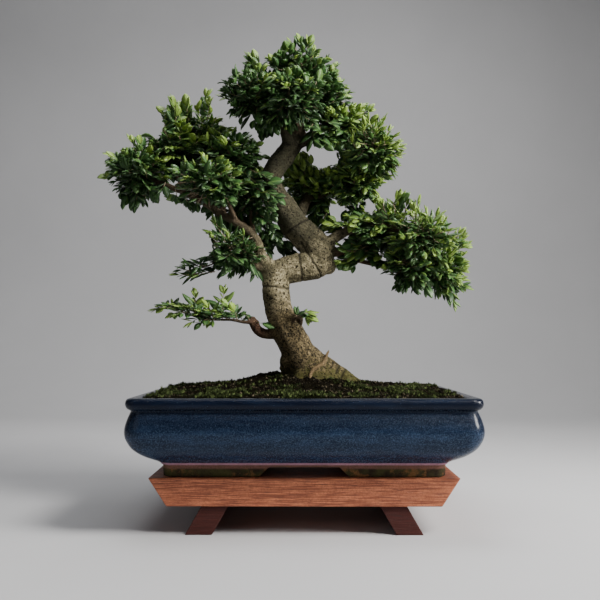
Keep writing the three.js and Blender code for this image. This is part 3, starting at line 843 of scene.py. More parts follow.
@dataclass
class Pot:
    """The glazed pot: feet, raw clay band, swelling wall, bead and rolled rim.

    A ring of its profile is an inset, a height and a corner radius.
    """

    half_length: float = 202
    half_depth: float = 150
    board_top: float = 65
    underside: float = 76.5
    floor: float = 86
    corner_sides: int = 13
    wall_steps: int = 4
    rim_steps: int = 3
    front_gap: Span = (82, 107)
    side_gap: Span = (60, 85)
    front_way: float = 170
    side_way: float = 230
    drain_radius: float = 12
    drain_offset: float = 80
    drain_sides: int = 32
    sharp_angle: float = 38
    foot: Sequence[Point] = ((57, 76.5, 8), (57, 65, 8), (38, 65, 14), (37, 66, 14), (36.2, 78.6, 14))
    band: Sequence[Point] = ((36, 79.0, 14), (34.3, 79.5, 15), (34, 80.5, 15), (33, 81.2, 16))
    wall: Sequence[Point] = (
        (32, 82, 16), (28, 84.2, 18), (15, 91, 21), (5, 100, 22), (-1, 112, 22), (-2, 121, 22),
        (0.5, 132, 20), (4, 140, 16),
    )
    rim: Sequence[Point] = (
        (4.8, 142, 16), (4.6, 143.6, 15), (2.4, 145, 15), (0.6, 147.4, 15), (0, 150.5, 14), (0.3, 154, 14),
        (1.8, 156.5, 13), (4.4, 157.5, 13), (11, 157.5, 11), (13.8, 156.3, 10), (15, 153.5, 10),
    )
    inside: Sequence[Point] = ((15, 150, 11), (11, 112, 18), (27, 94, 18), (52, 86, 16))
    raw: ClayFinish = ClayFinish(
        "raw_clay",
        *((0.40, 0.21, 0.27, 1), (0.20, 0.10, 0.14, 1), (0.13, 0.07, 0.095, 1), (0.16, 0.075, 0.07, 1)),
        weathered_and_painted_shade=0.2,
    )
    # The feet: moss, rust and dark blotches, with painted shade on their lower part.
    mossy: ClayFinish = ClayFinish(
        "foot_clay",
        *((0.19, 0.085, 0.07, 1), (0.016, 0.012, 0.006, 1)),
        *((0.048, 0.048, 0.014, 1), (0.17, 0.078, 0.026, 1)),
        weathered_and_painted_shade=0.95,
    )

    def ring(self, inset: float, height: float, radius: float, sides: int, gap: float = 0) -> list[Vector]:
        """Draw a level outline with round corners, counter-clockwise from above.

        Args:
            inset: how far it lies inside the pot's longest outline.
            height: how high it lies.
            radius: the radius of its corners.
            sides: how many points each corner has.
            gap: how much further in it lies.

        Returns:
            The outline's points in the frame.
        """
        half_length, half_depth = self.half_length - inset - gap, self.half_depth - inset - gap
        ring = []
        for corner, (right, back) in enumerate(((1, 1), (-1, 1), (-1, -1), (1, -1))):
            for step in range(sides):
                angle = (corner + step / (sides - 1)) * math.pi / 2
                x = right * (half_length - radius) + radius * math.cos(angle)
                y = back * (half_depth - radius) + radius * math.sin(angle)
                ring.append(place((x, y, height)))
        return ring

    def shell(self) -> Object:
        """Return the pot's body before its gaps and holes are cut."""
        curves = [*evened(self.wall, self.wall_steps), *evened(self.rim, self.rim_steps)]
        profile = [*self.foot, *self.band, *curves, *self.inside]
        rings = [self.ring(*spec, self.corner_sides) for spec in profile]
        made = new_object("pot_glazed", *skinned(rings))
        rows = [GlazeZone.FEET] * len(self.foot) + [GlazeZone.CLAY] * len(self.band)
        rows += [GlazeZone.GLAZE] * (len(rings) - 1 - len(rows))
        zones = [zone.value for zone in rows for _ in rings[0]] + [GlazeZone.CLAY.value] * 2
        made.data.polygons.foreach_set("material_index", zones)
        return made

    def way(self, name: str, gap: Span, length: float, sideways: bool) -> Object:
        """Return the prism that cuts a way between the feet, as wide as its gap."""
        top, ground = gap[0] / 2, gap[1] / 2
        outline = [(-ground, self.board_top - 1), (ground, self.board_top - 1)]
        outline += [(top, self.underside), (-top, self.underside)]
        rings = [
            [place((end, x, z) if sideways else (x, end, z)) for x, z in outline]
            for end in (-length, length)
        ]
        made = new_object(name, *skinned(rings), smooth=False)
        correct_normals(made)
        return made

    def drain(self, side: int) -> Object:
        """Return the round cutter of the drain hole on one side, -1 for the left."""
        path = [
            (place((side * self.drain_offset, 0, height)), self.drain_radius * MM)
            for height in (self.underside - 6, self.floor + 6)
        ]
        made = new_object(f"drain_{side}", *tube(path, self.drain_sides), smooth=False)
        correct_normals(made)
        return made

    def build(self) -> None:
        """Make the pot and dress it."""
        made = self.shell()
        for finish in (GlazeFinish(), self.raw, self.mossy):
            made.data.materials.append(finish.build())
        cutters = [
            self.way("front_way", self.front_gap, self.front_way, False),
            self.way("side_way", self.side_gap, self.side_way, True),
            self.drain(-1),
            self.drain(1),
        ]
        for cutter in cutters:
            cut = made.modifiers.new(cutter.name, "BOOLEAN")
            cut.operation = "DIFFERENCE"
            cut.object = cutter
            cut.solver = "EXACT"
        baked(made)
        for cutter in cutters:
            bpy.data.objects.remove(cutter)
        made.data.shade_smooth()
        made.data.set_sharp_from_angle(angle=math.radians(self.sharp_angle))
        settle(made, ["pot"])


# Copies spread by a node tree


class Copy(NamedTuple):
    """One copy: its place, its turn, its size, its tone and its shape's number."""

    spot: Vector
    turn: Sequence[float]
    size: float
    tone: float
    kind: int = 0


class Scatter:
    """Spreads copies of a few shapes over points, with a geometry node tree."""

    def __init__(self, shapes: Sequence[Object], finish: Material) -> None:
        """Build the node tree for some shapes and one finish."""
        self.tree = bpy.data.node_groups.new("spread_copies", "GeometryNodeTree")
        self.values: dict[str, object] = {}
        sockets = self.tree.interface
        sockets.new_socket(name="Geometry", in_out="INPUT", socket_type="NodeSocketGeometry")
        names = [f"Shape {number}" for number in range(1, len(shapes) + 1)]
        for name, shape in zip(names, shapes):
            self.named_input(name, "NodeSocketObject", shape)
        self.named_input("Size", "NodeSocketFloat", 1.0)
        self.named_input("Finish", "NodeSocketMaterial", finish)
        sockets.new_socket(name="Geometry", in_out="OUTPUT", socket_type="NodeSocketGeometry")
        self.join(names)

    def named_input(self, name: str, kind: str, value: object) -> None:
        """Give the tree an input of a type, and note what it is set to."""
        socket = self.tree.interface.new_socket(name=name, in_out="INPUT", socket_type=kind)
        self.values[socket.identifier] = value

    def join(self, names: Sequence[str]) -> None:
        """Join the tree's nodes, from the points and the named shapes to the copies."""
        graph = Graph(self.tree)
        given = graph.add("NodeGroupInput").outputs
        gathered = graph.add("GeometryNodeJoinGeometry")
        for name in reversed(names):
            info = graph.add("GeometryNodeObjectInfo", {"Object": given[name]}, transform_space="ORIGINAL")
            single = graph.add("GeometryNodeGeometryToInstance", {0: info.outputs["Geometry"]})
            self.tree.links.new(single.outputs[0], gathered.inputs[0])
        kinds = {"turn": "FLOAT_VECTOR", "size": "FLOAT", "kind": "INT"}
        turn, size, kind = (
            graph.add("GeometryNodeInputNamedAttribute", {"Name": name}, data_type=data_type).outputs[0]
            for name, data_type in kinds.items()
        )
        inputs = {
            "Points": given["Geometry"],
            "Instance": gathered.outputs[0],
            "Pick Instance": True,
            "Instance Index": kind,
            "Rotation": turn,
            "Scale": graph.times(size, given["Size"]),
        }
        copies = graph.add("GeometryNodeInstanceOnPoints", inputs)
        real = graph.add("GeometryNodeRealizeInstances", {0: copies.outputs[0]})
        dressing = {"Geometry": real.outputs[0], "Material": given["Finish"]}
        dressed = graph.add("GeometryNodeSetMaterial", dressing)
        graph.add("NodeGroupOutput", {0: dressed.outputs[0]})

    def spread(self, name: str, copies: Sequence[Copy]) -> Object:
        """Make one piece of all the copies.

        Args:
            name: the piece's name.
            copies: where and how each copy stands.

        Returns:
            The piece, with a plain mesh.
        """
        spots, turns, sizes, tones, kinds = zip(*copies)
        made = new_object(name, spots, [], smooth=False)
        store(made.data, "turn", turns, "FLOAT_VECTOR")
        store(made.data, "size", sizes)
        store(made.data, "tone", tones)
        store(made.data, "kind", kinds, "INT")
        modifier = made.modifiers.new("spread", "NODES")
        modifier.node_group = self.tree
        for identifier, value in self.values.items():
            modifier[identifier] = value
        baked(made)
        made.data.shade_smooth()
        for spare in ("turn", "size", "kind"):
            if spare in made.data.attributes:
                made.data.attributes.remove(made.data.attributes[spare])
        return made


# The soil


def evenly(ring: Sequence[Vector], count: int) -> list[Vector]:
    """Return points spaced evenly round a closed outline."""
    closed = [*ring, ring[0]]
    lengths = [(after - before).length for before, after in zip(closed, closed[1:])]
    step = sum(lengths) / count
    points = []
    side, gone = 0, 0.0
    for index in range(count):
        due = index * step
        while side < len(lengths) - 1 and gone + lengths[side] < due:
            gone += lengths[side]
            side += 1
        share = min(1.0, (due - gone) / max(lengths[side], 1e-9))
        points.append(closed[side].lerp(closed[side + 1], share))
    return points


@dataclass
class Soil:
    """The soil's mossy surface, with its tufts and grit, over two screens.

    The mound is a rise, a length and a depth; each bump is a place, a rise and a
    reach; each size of crumbs is a width, a rise and a seed.
    """

    pot: Pot
    edge: float = 156.2
    gap: float = 0.3
    wall: Sequence[Point] = ((52, 86.3, 16), (27, 94.3, 18), (11, 112, 18))
    top_inset: float = 15
    mound: Point = (17, 135, 85)
    bumps: Sequence[tuple[float, float, float, float]] = ((-42, 22, 9, 34), (14, -26, 6, 34))
    ripple: Point = (0.9, 13, 11)
    crumb_sizes: Sequence[Point] = ((14.0, 3.0, 2.2), (5.6, 2.2, 1.3), (2.8, 1.1, 5.2))
    moss_rise: float = 2.0
    around: int = 280
    rows: int = 66
    tufts: int = 5600
    tuft_size: Span = (0.0009, 0.0026)
    grit: int = 3600
    grit_size: Span = (0.0006, 0.0018)
    thinning: Span = (0.187, 0.135)
    jitter: float = 0.0015
    seed: int = 11
    surface: list[tuple[Vector, float]] = field(default_factory=list)

    def height(self, x: float, y: float) -> float:
        """Return how high the soil is at a place, without its crumbs."""
        rise, length, depth = self.mound
        level = self.edge + rise * math.exp(-((x / length) ** 2) - ((y - 5) / depth) ** 2)
        for centre_x, centre_y, high, radius in self.bumps:
            away = math.hypot(x - centre_x, y - centre_y) / radius
            level += high * math.exp(-(away**2))
        high, length, depth = self.ripple
        return level + high * math.sin(x / length) * math.cos(y / depth)

    def moss(self, x: float, y: float) -> float:
        """Return how mossy the soil is at a place, from 0 to 1."""
        broad = noise.noise(Vector((x / 34, y / 22, 3.7)))
        fine = noise.noise(Vector((x / 9, y / 7, 8.1)))
        near_trunk = math.exp(-(((x - 15) / 60) ** 2) - ((y + 5) / 40) ** 2)
        return bounded(0.42 + 0.95 * broad + 0.5 * fine - 0.45 * near_trunk)

    def crumbs(self, x: float, y: float) -> float:
        """Return the height of the crumbs at a place."""
        sizes = self.crumb_sizes
        return sum(high * noise.noise(Vector((x / wide, y / wide, seed))) for wide, high, seed in sizes)

    def build_surface(self) -> None:
        """Make the soil as one closed piece, and keep the places on its surface."""
        specs = (*self.wall, (self.top_inset, self.edge - 2, 10))
        rings = [evenly(self.pot.ring(*spec, 9, self.gap), self.around) for spec in specs]
        outer = rings[-1]
        mossy = [0.0] * (len(specs) * self.around)
        for row in range(self.rows):
            share = 1 - row / self.rows
            ring = []
            for corner in outer:
                x, y = (corner.x - CENTRE.x) * share / MM, (corner.y - CENTRE.y) * share / MM
                green = self.moss(x, y)
                lift = self.crumbs(x, y) + self.moss_rise * green * green if row else 0.0
                ring.append(place((x, y, self.height(x, y) + lift)))
                mossy.append(green)
                if row:
                    self.surface.append((ring[-1], green))
            rings.append(ring)
        made = new_object("soil_mossy", *skinned(rings))
        store(made.data, "moss", mossy)
        made.data.materials.append(SoilFinish().build())
        settle(made, ["soil"])

    def tuft_shape(self) -> Object:
        """Return one moss shoot: narrow pointed leaflets in two layers."""
        heap = MeshHeap()
        for layer, (height, spread, count) in enumerate(((-0.2, 1.0, 3), (0.3, 0.55, 2))):
            for leaflet in range(count):
                angle = (leaflet + layer * 0.5) / count * math.tau
                out = Vector((math.cos(angle), math.sin(angle), 0))
                side = Vector((-out.y, out.x, 0)) * 0.26
                root = Vector((0, 0, height))
                under = root + out * 0.15 - Vector((0, 0, 0.3))
                tip = out * spread + Vector((0, 0, height + 1.1))
                heap.add([root - side, root + side, under, tip], [(1, 0, 3), (2, 1, 3), (0, 2, 3)])
        return new_object("tuft_shape", heap.points, heap.faces)

    def grit_shape(self) -> Object:
        """Return one rough crumb of soil with eight faces."""
        draw = random.Random(5)
        points = []
        for axis in range(3):
            for way in (1, -1):
                corner = Vector([draw.uniform(-0.35, 0.35) for _ in range(3)])
                corner[axis] = way * draw.uniform(0.7, 1.2)
                points.append(corner)
        faces: Faces = []
        for first, second in ((0, 2), (3, 0), (2, 1), (1, 3)):
            faces += [(first, second, 4), (second, first, 5)]
        return new_object("grit_shape", points, faces, smooth=False)

    def scatter(
        self, name: str, shape: Object, count: int, size: Span, mossy: bool, finish: TuftFinish
    ) -> None:
        """Scatter copies of a shape over the soil, and forget the shape.

        Args:
            name: the new piece's name.
            shape: the shape that is copied.
            count: how many copies there are.
            size: the smallest and largest size in metres.
            mossy: whether copies keep to the moss, or keep off it.
            finish: the finish of the copies.
        """
        draw = random.Random(self.seed + count)
        copies: list[Copy] = []
        while len(copies) < count:
            spot, green = self.surface[draw.randrange(len(self.surface))]
            if (green if mossy else 1 - green) < 0.3 + 0.5 * draw.random():
                continue
            across, along = abs(spot.x - CENTRE.x), abs(spot.y - CENTRE.y)
            if max(across / self.thinning[0], along / self.thinning[1]) < draw.random():
                continue
            spot = spot + level_step(draw) * self.jitter
            lean = (draw.uniform(-0.4, 0.4), draw.uniform(-0.4, 0.4), draw.uniform(0, math.tau))
            grown = draw.uniform(*size)
            copies.append(Copy(spot, lean, grown, bounded(green * 0.12 + draw.random() ** 5)))
        made = Scatter([shape], finish.build()).spread(name, copies)
        settle(made)
        bpy.data.objects.remove(shape)

    def screens(self) -> None:
        """Dress the two plastic screens in their own finish."""
        finish = PlainFinish("screen_plastic", (0.02, 0.021, 0.02, 1), (0.035, 0.036, 0.034, 1), 0.6).build()
        for side in ("left", "right"):
            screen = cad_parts[f"drain_screen_{side}"]
            screen.data.materials.clear()
            screen.data.materials.append(finish)

    def build(self) -> None:
        """Make the soil, the moss and the grit."""
        self.build_surface()
        moss = TuftFinish("moss_shoots", (0.0035, 0.0055, 0.002, 1), (0.14, 0.185, 0.060, 1))
        crumbs = TuftFinish("soil_grit", (0.0035, 0.003, 0.002, 1), (0.13, 0.105, 0.065, 1))
        self.scatter("moss_tufts", self.tuft_shape(), self.tufts, self.tuft_size, True, moss)
        self.scatter("soil_grit", self.grit_shape(), self.grit, self.grit_size, False, crumbs)
        self.screens()


# The wood


TRUNK: dict[str, Limb] = {
    "foot": (
        (28, 2, 150, 37), (21, 1, 169, 34), (4, 0, 191, 25.5), (-9, -2, 211, 22), (-19, -5, 231, 20.5),
        (-29, -8, 250, 18), (-34, -10, 270, 18.5), (-37, -11, 290, 18), (-37, -10, 310, 18),
        (-38, -10, 319, 14),
    ),
    "cross_piece": (
        (-51, -11, 309, 9), (-42, -10, 312, 15.5), (-15, -6, 319, 19), (9, 0, 324, 19.8), (24, 4, 326, 18),
        (33, 6, 325, 13),
    ),
    "upper": (
        (26, 4, 327, 16), (22, 3, 338, 19.5), (10, 3, 357, 20.5), (-13, 0, 379, 19.5), (-27, -4, 402, 17),
        (-38, -8, 420, 15), (-45, -9, 437, 13.5), (-39, -8, 454, 14.5), (-26, -5, 473, 14),
        (-15, -3, 489, 13),
    ),
    "leader": (
        (-15, -3, 485, 12), (-8, -2, 504, 9.5), (-7, -4, 529, 7), (-5, -6, 557, 5.5), (-3, -8, 591, 3.5),
    ),
}

BRANCHES: dict[str, Limb] = {
    "leader_left": (
        (-18, -4, 482, 10.5), (-24, -12, 502, 8), (-33, -20, 520, 6), (-48, -28, 533, 4.5),
        (-62, -33, 542, 3),
    ),
    "leader_front": ((-7, -4, 504, 6), (-12, -22, 516, 4.5), (-20, -38, 526, 3)),
    "leader_right": ((-6, -5, 540, 5), (4, 8, 556, 4), (14, 18, 568, 3)),
    "leader_back": ((-8, 0, 508, 6.5), (-11, 25, 544, 5), (-20, 50, 576, 4), (-24, 62, 588, 3)),
    "left": (
        (-48, -12, 320, 12), (-58, -16, 338, 8), (-63, -20, 355, 6.5), (-75, -23, 368, 6),
        (-92, -25, 379, 5.5), (-110, -25, 390, 5.5), (-128, -24, 403, 5), (-150, -22, 416, 4.5),
        (-173, -20, 425, 4), (-198, -20, 436, 3.5), (-222, -20, 444, 3),
    ),
    "left_upper": ((-156, -21, 418, 3.5), (-172, -12, 446, 3.2), (-184, -2, 470, 3)),
    "left_inner": ((-128, -24, 403, 3.5), (-139, 0, 444, 3.2), (-150, 24, 487, 3), (-153, 30, 510, 2.8)),
    "left_near": ((-108, -25, 389, 3.8), (-103, -22, 422, 3.2), (-100, -18, 462, 2.8)),
    "left_mid": ((-66, -21, 360, 4), (-70, -16, 385, 3.4), (-71, -8, 408, 2.8)),
    "left_low": ((-89, -25, 379, 3.8), (-96, -38, 396, 3.2), (-101, -46, 410, 2.8)),
    "left_back": ((-75, -22, 369, 4.2), (-99, 15, 406, 3.8), (-129, 50, 439, 3.2), (-150, 70, 462, 2.8)),
    "knee_twig": ((-50, -14, 319, 8), (-66, -20, 321, 5), (-82, -27, 328, 4), (-96, -32, 334, 3)),
    "shoulder": (
        (-12, -2, 491, 10), (11, 2, 499, 7.5), (36, 8, 505, 6), (66, 4, 503, 5), (84, -4, 491, 4),
        (97, -8, 481, 3),
    ),
    "shoulder_top": ((36, 8, 505, 4), (48, 14, 516, 3.4), (55, 19, 523, 3)),
    "rear": ((-10, 8, 385, 9), (-1, 28, 408, 7), (7, 48, 435, 5.5), (10, 58, 450, 4)),
    "rear_right": ((3, 38, 419, 4.5), (30, 42, 431, 4), (58, 38, 441, 3.5), (78, 31, 449, 3)),
    "rear_high": ((58, 38, 440, 3.5), (69, 58, 467, 3.2), (77, 72, 492, 3)),
    "right": (
        (20, 2, 340, 12), (31, 0, 353, 9), (46, -2, 364, 7), (62, -2, 372, 6.5), (83, -4, 378, 6),
        (106, -8, 376, 5), (130, -16, 367, 4), (154, -22, 357, 3),
    ),
    "right_inner": ((83, -4, 380, 4), (98, 8, 385, 3.4), (110, 17, 388, 3)),
    "right_tip": ((130, -16, 367, 3.5), (153, -4, 344, 3.2), (173, 6, 329, 3), (184, 10, 321, 2.8)),
    "right_back": ((108, -8, 376, 3.5), (130, 22, 368, 3.2), (150, 50, 362, 2.8)),
    "under_right": (
        (22, 3, 346, 10), (41, 8, 344, 7), (52, 10, 340, 5), (68, 14, 333, 4), (86, 22, 346, 3.5),
        (98, 26, 366, 3),
    ),
    "low_right": ((66, 14, 334, 3.5), (94, 2, 326, 3.2), (124, -10, 317, 3)),
    "low_stub": (
        (-26, -6, 238, 10), (-40, -9, 233, 7.5), (-52, -12, 232, 6.6), (-61, -15, 237, 7),
        (-66, -17, 246, 6.2), (-68, -18, 251, 5),
    ),
    "cut_stub": (
        (-24, -10, 256, 9), (-14, -15, 255, 7.5), (-7, -17, 255, 4.5), (-4, -17, 250, 3), (-4, -17, 244, 2),
    ),
}

ROOTS: dict[str, Limb] = {
    "right": ((29, -4, 184, 16), (48, -7, 176, 12.5), (68, -11, 165, 8.5), (86, -16, 154, 5)),
    "front": ((20, -8, 180, 20), (28, -24, 165, 14), (36, -42, 150, 7)),
    "front_left": ((4, -8, 182, 17), (-5, -24, 165, 12), (-14, -40, 150, 6)),
    "left": ((-4, 2, 190, 15), (-22, 4, 176, 10), (-40, 6, 162, 6)),
    "knob": ((-2, -3, 206, 21), (-14, -4, 202, 18), (-22, -5, 194, 12), (-26, -5, 186, 7)),
    "back": ((20, 16, 186, 16), (24, 40, 173, 11), (26, 58, 162, 6)),
    "surface": (
        (33, -8, 210, 1.3), (30.5, -12, 206, 1.8), (28.5, -16, 200, 2.0), (26, -22, 195, 2.0),
        (20, -27, 191, 2.0), (13, -29.5, 187, 1.9), (8.5, -31, 181, 1.9), (7, -34, 174, 1.9),
        (6.5, -38, 165, 1.9),
    ),
}

STEMS: dict[str, Limb] = {
    "lowest_branch": (
        (-62, -17, 246, 4.4), (-68, -20, 248, 3.4), (-76, -22, 247, 2.6), (-95, -25, 250, 2.2),
        (-114, -27, 250, 2), (-134, -30, 252, 1.8), (-152, -32, 258, 1.5), (-170, -34, 263, 1.0),
    ),
    "knee_twig": (
        (-92, -31, 332, 3), (-108, -36, 326, 1.8), (-124, -34, 320, 1.6), (-138, -31, 316, 1.3),
        (-148, -29, 313, 0.9),
    ),
    "trunk_shoot": ((-14, -22, 249, 2.4), (-10, -28, 253, 1.8), (-3, -29, 257, 1.4), (2, -28, 258, 0.9)),
}

# Places where the bark is redder: a point and a reach
RED_PLACES: Sequence[tuple[Point, float]] = (((-61, -15, 241), 17), ((52, 10, 340), 13), ((68, 14, 334), 14))

# Marks that training wire has left: a point on each, the way it is crossed and its reach
WIRE_MARKS: Sequence[tuple[Point, Point, float]] = (
    ((-37, -11, 293), (0.10, 0.0, 1.0), 30),
    ((-4, -6, 318), (1.0, 0.0, 0.12), 30),
    ((13, 0, 326), (1.0, 0.0, 0.62), 34),
    ((-13, 0, 373), (-0.55, 0.0, 0.83), 28),
    ((37, -14, 192), (0.8, 0.1, -0.6), 11),
    ((44, -15, 186), (0.8, 0.1, -0.6), 12),
    ((51, -16, 180), (0.8, 0.1, -0.6), 11),
)


class LimbTree:
    """Finds the limb of a range of thickness that lies nearest to a point."""

    def __init__(self, inner: Path, low: float = 0, high: float = 1) -> None:
        """Keep the places whose radius is from low to high."""
        places = [(spot, radius) for spot, radius in inner if low <= radius < high]
        self.radii = [radius for _, radius in places]
        self.tree = kdtree.KDTree(len(places))
        for index, (spot, _) in enumerate(places):
            self.tree.insert(spot, index)
        self.tree.balance()

    def find(self, spot: Vector) -> tuple[float, float]:
        """Return how far the nearest place is from a point, and its radius."""
        _, index, away = self.tree.find(spot)
        return away, self.radii[index]

    def nearest(self, spot: Vector) -> tuple[float, float]:
        """Return how far outside the nearest limb a point is, and its radius."""
        away, radius = self.find(spot)
        return away - radius, radius


@dataclass
class Wood:
    """The trunk, its roots, its branches and its stems, grown as one piece.

    The tubes of the four have their own numbers of sides. Marks are in metres.
    """

    voxel: float = 1.45
    sides: Sequence[int] = (28, 18, 14, 8)
    rounds: int = 5
    step: float = 0.004
    root_top: float = 0.215
    full_radius: float = 0.014
    broad_rise: float = 0.0012
    fine_rise: float = 0.0005
    scar_depth: float = 0.0008
    scar_half: float = 0.0013
    scar_wobble: float = 0.0009
    bare_reach: float = 0.0031
    inner: list[tuple[Vector, float]] = field(default_factory=list)

    def relief(self, seed: float) -> Callable[[float, float], float]:
        """Return slow swellings and hollows round a limb, by a seed of its own."""

        def factor(angle: float, along: float) -> float:
            """Return the factor on the radius at an angle and a distance."""
            spot = Vector((math.cos(angle) * 1.1, math.sin(angle) * 1.1, along / 0.022 + seed))
            return 1 + 0.07 * noise.noise(spot) + 0.035 * noise.noise(spot * 2.3)

        return factor

    def rounded(self, path: Path) -> list[tuple[Vector, float]]:
        """Return a path with a rounded tip added to both ends."""
        drawn = list(path)
        for _ in range(2):
            drawn.reverse()
            tip, radius = drawn[-1]
            ahead = (tip - drawn[-2][0]).normalized()
            for out, thin in ((0.35, 0.9), (0.6, 0.68), (0.75, 0.35)):
                drawn.append((tip + ahead * radius * out, radius * thin))
        return drawn

    def scar(self, spot: Vector, marks: Sequence[tuple[Vector, Vector, float]]) -> float:
        """Return how strongly a wire mark shows at a point, from 0 to 1."""
        scar = 0.0
        for centre, way, reach in marks:
            if (spot - centre).length < reach:
                wobble = self.scar_wobble * noise.noise(spot * 120)
                off = abs((spot - centre).dot(way) + wobble)
                scar = max(scar, min(1.0, 1.3 * math.exp(-((off / self.scar_half) ** 2))))
        return scar

    def carve(self, made: Object) -> None:
        """Give the bark its relief and store what its colour needs."""
        mesh = made.data
        trees = [LimbTree(self.inner, *span) for span in ((0.012, 1), (0.006, 0.012), (0.0, 0.006))]
        marks = [(place(point), Vector(way).normalized(), reach * MM) for point, way, reach in WIRE_MARKS]
        red_places = [(place(point), reach * MM) for point, reach in RED_PLACES]
        bare_root = [spot for spot, _ in smooth_path(ROOTS["surface"], 0.002)]
        corners = np.empty(len(mesh.vertices) * 3, np.float32)
        normals = np.empty(len(mesh.vertices) * 3, np.float32)
        mesh.vertices.foreach_get("co", corners)
        mesh.vertex_normals.foreach_get("vector", normals)
        thick, scars, reds, lifts, bares = [], [], [], [], []
        for corner in corners.reshape(-1, 3):
            spot = Vector(corner)
            low_down = spot.z < self.root_top
            share = min(1.0, min(tree.nearest(spot) for tree in trees)[1] / self.full_radius)
            if low_down:
                share = max(share, 0.7)
            scar = self.scar(spot, marks)
            broad = noise.noise(spot * 55)
            fine = noise.noise(Vector((spot.x, spot.y, spot.z * 1.6)) * 260)
            near_root = min((spot - along).length for along in bare_root) if low_down else 1.0
            rise = self.broad_rise * broad + self.fine_rise * fine
            lifts.append(share * rise - self.scar_depth * scar)
            thick.append(share)
            bares.append(bounded((self.bare_reach - near_root) / 0.0010))
            scars.append(scar * (0.78 + 0.22 * noise.noise(spot * 90)))
            reds.append(bounded(max(1.4 - (spot - centre).length / reach for centre, reach in red_places)))
        raised = corners.reshape(-1, 3) + normals.reshape(-1, 3) * np.asarray(lifts, np.float32)[:, None]
        mesh.vertices.foreach_set("co", raised.ravel())
        mesh.update()
        for name, values in (("thickness", thick), ("scar", scars), ("bare", bares), ("redness", reds)):
            store(mesh, name, values)

    def build(self) -> None:
        """Make the wood, and keep places inside all its limbs with their radii."""
        heap = MeshHeap()
        for number, (limbs, sides) in enumerate(zip((TRUNK, ROOTS, BRANCHES, STEMS), self.sides)):
            for order, limb in enumerate(limbs.values()):
                path = smooth_path(limb, self.step)
                heap.add(*tube(self.rounded(path), sides, self.relief(number * 40 + order * 3.3)))
                self.inner.extend(path)
        made = new_object("trunk_and_branches", heap.points, heap.faces)
        remesh = made.modifiers.new("grown_together", "REMESH")
        remesh.mode = "VOXEL"
        remesh.voxel_size = self.voxel * MM
        calm = made.modifiers.new("calm", "SMOOTH")
        calm.factor = 0.5
        calm.iterations = self.rounds
        baked(made)
        self.carve(made)
        made.data.shade_smooth()
        made.data.materials.append(BarkFinish().build())
        settle(made, ["trunk"])


# The leaves


@dataclass(frozen=True)
class Cloud:
    """One mass of leaves: its middle, its reach, how full it is, and how pale its leaves are from youth and
    painted light.
    """

    at: Point
    reach: Point
    shoots: int
    youth: float = 0.3


# A cloud's last number sets how pale its leaves are: partly their youth, partly painted light, higher on the
# right towards the key lamp.
CLOUDS: dict[str, Cloud] = {
    "left_tip": Cloud((-219, -20, 444), (44, 44, 38), 60, 0.44),
    "left_upper": Cloud((-177, 2, 483), (50, 48, 48), 66, 0.62),
    "left_inner": Cloud((-149, 30, 508), (54, 48, 50), 66, 0.60),
    "left_near": Cloud((-98, -12, 466), (48, 44, 42), 60, 0.36),
    "left_mid": Cloud((-70, -2, 416), (44, 42, 42), 52, 0.38),
    "left_low": Cloud((-122, -46, 424), (54, 44, 37), 62, 0.44),
    "left_back": Cloud((-150, 80, 462), (50, 46, 48), 44, 0.34),
    "crown_top": Cloud((-10, -8, 588), (50, 46, 38), 62, 0.43),
    "crown_left": Cloud((-63, -34, 541), (50, 46, 44), 62, 0.34),
    "crown_right": Cloud((20, 24, 565), (50, 46, 44), 62, 0.33),
    "crown_front": Cloud((-16, -50, 536), (47, 42, 38), 56, 0.32),
    "crown_back": Cloud((-24, 66, 578), (52, 46, 44), 46, 0.30),
    "shoulder_top": Cloud((56, 22, 518), (45, 44, 36), 52, 0.70),
    "shoulder": Cloud((93, -8, 482), (44, 44, 44), 62, 0.90),
    "shoulder_low": Cloud((70, 30, 446), (51, 44, 38), 62, 0.86),
    "shoulder_back": Cloud((78, 80, 492), (47, 45, 44), 42, 0.50),
    "rear": Cloud((14, 62, 442), (46, 42, 36), 62, 0.80),
    "right_inner": Cloud((104, 24, 377), (52, 46, 43), 62, 0.58),
    "right_top": Cloud((152, -28, 357), (49, 46, 43), 68, 0.76),
    "right_tip": Cloud((183, 12, 323), (40, 44, 37), 58, 0.80),
    "right_low": Cloud((142, -16, 322), (46, 42, 33), 54, 0.54),
    "right_back": Cloud((153, 66, 360), (49, 46, 44), 42, 0.35),
    "knee": Cloud((-94, -32, 340), (47, 40, 28), 52, 0.38),
}

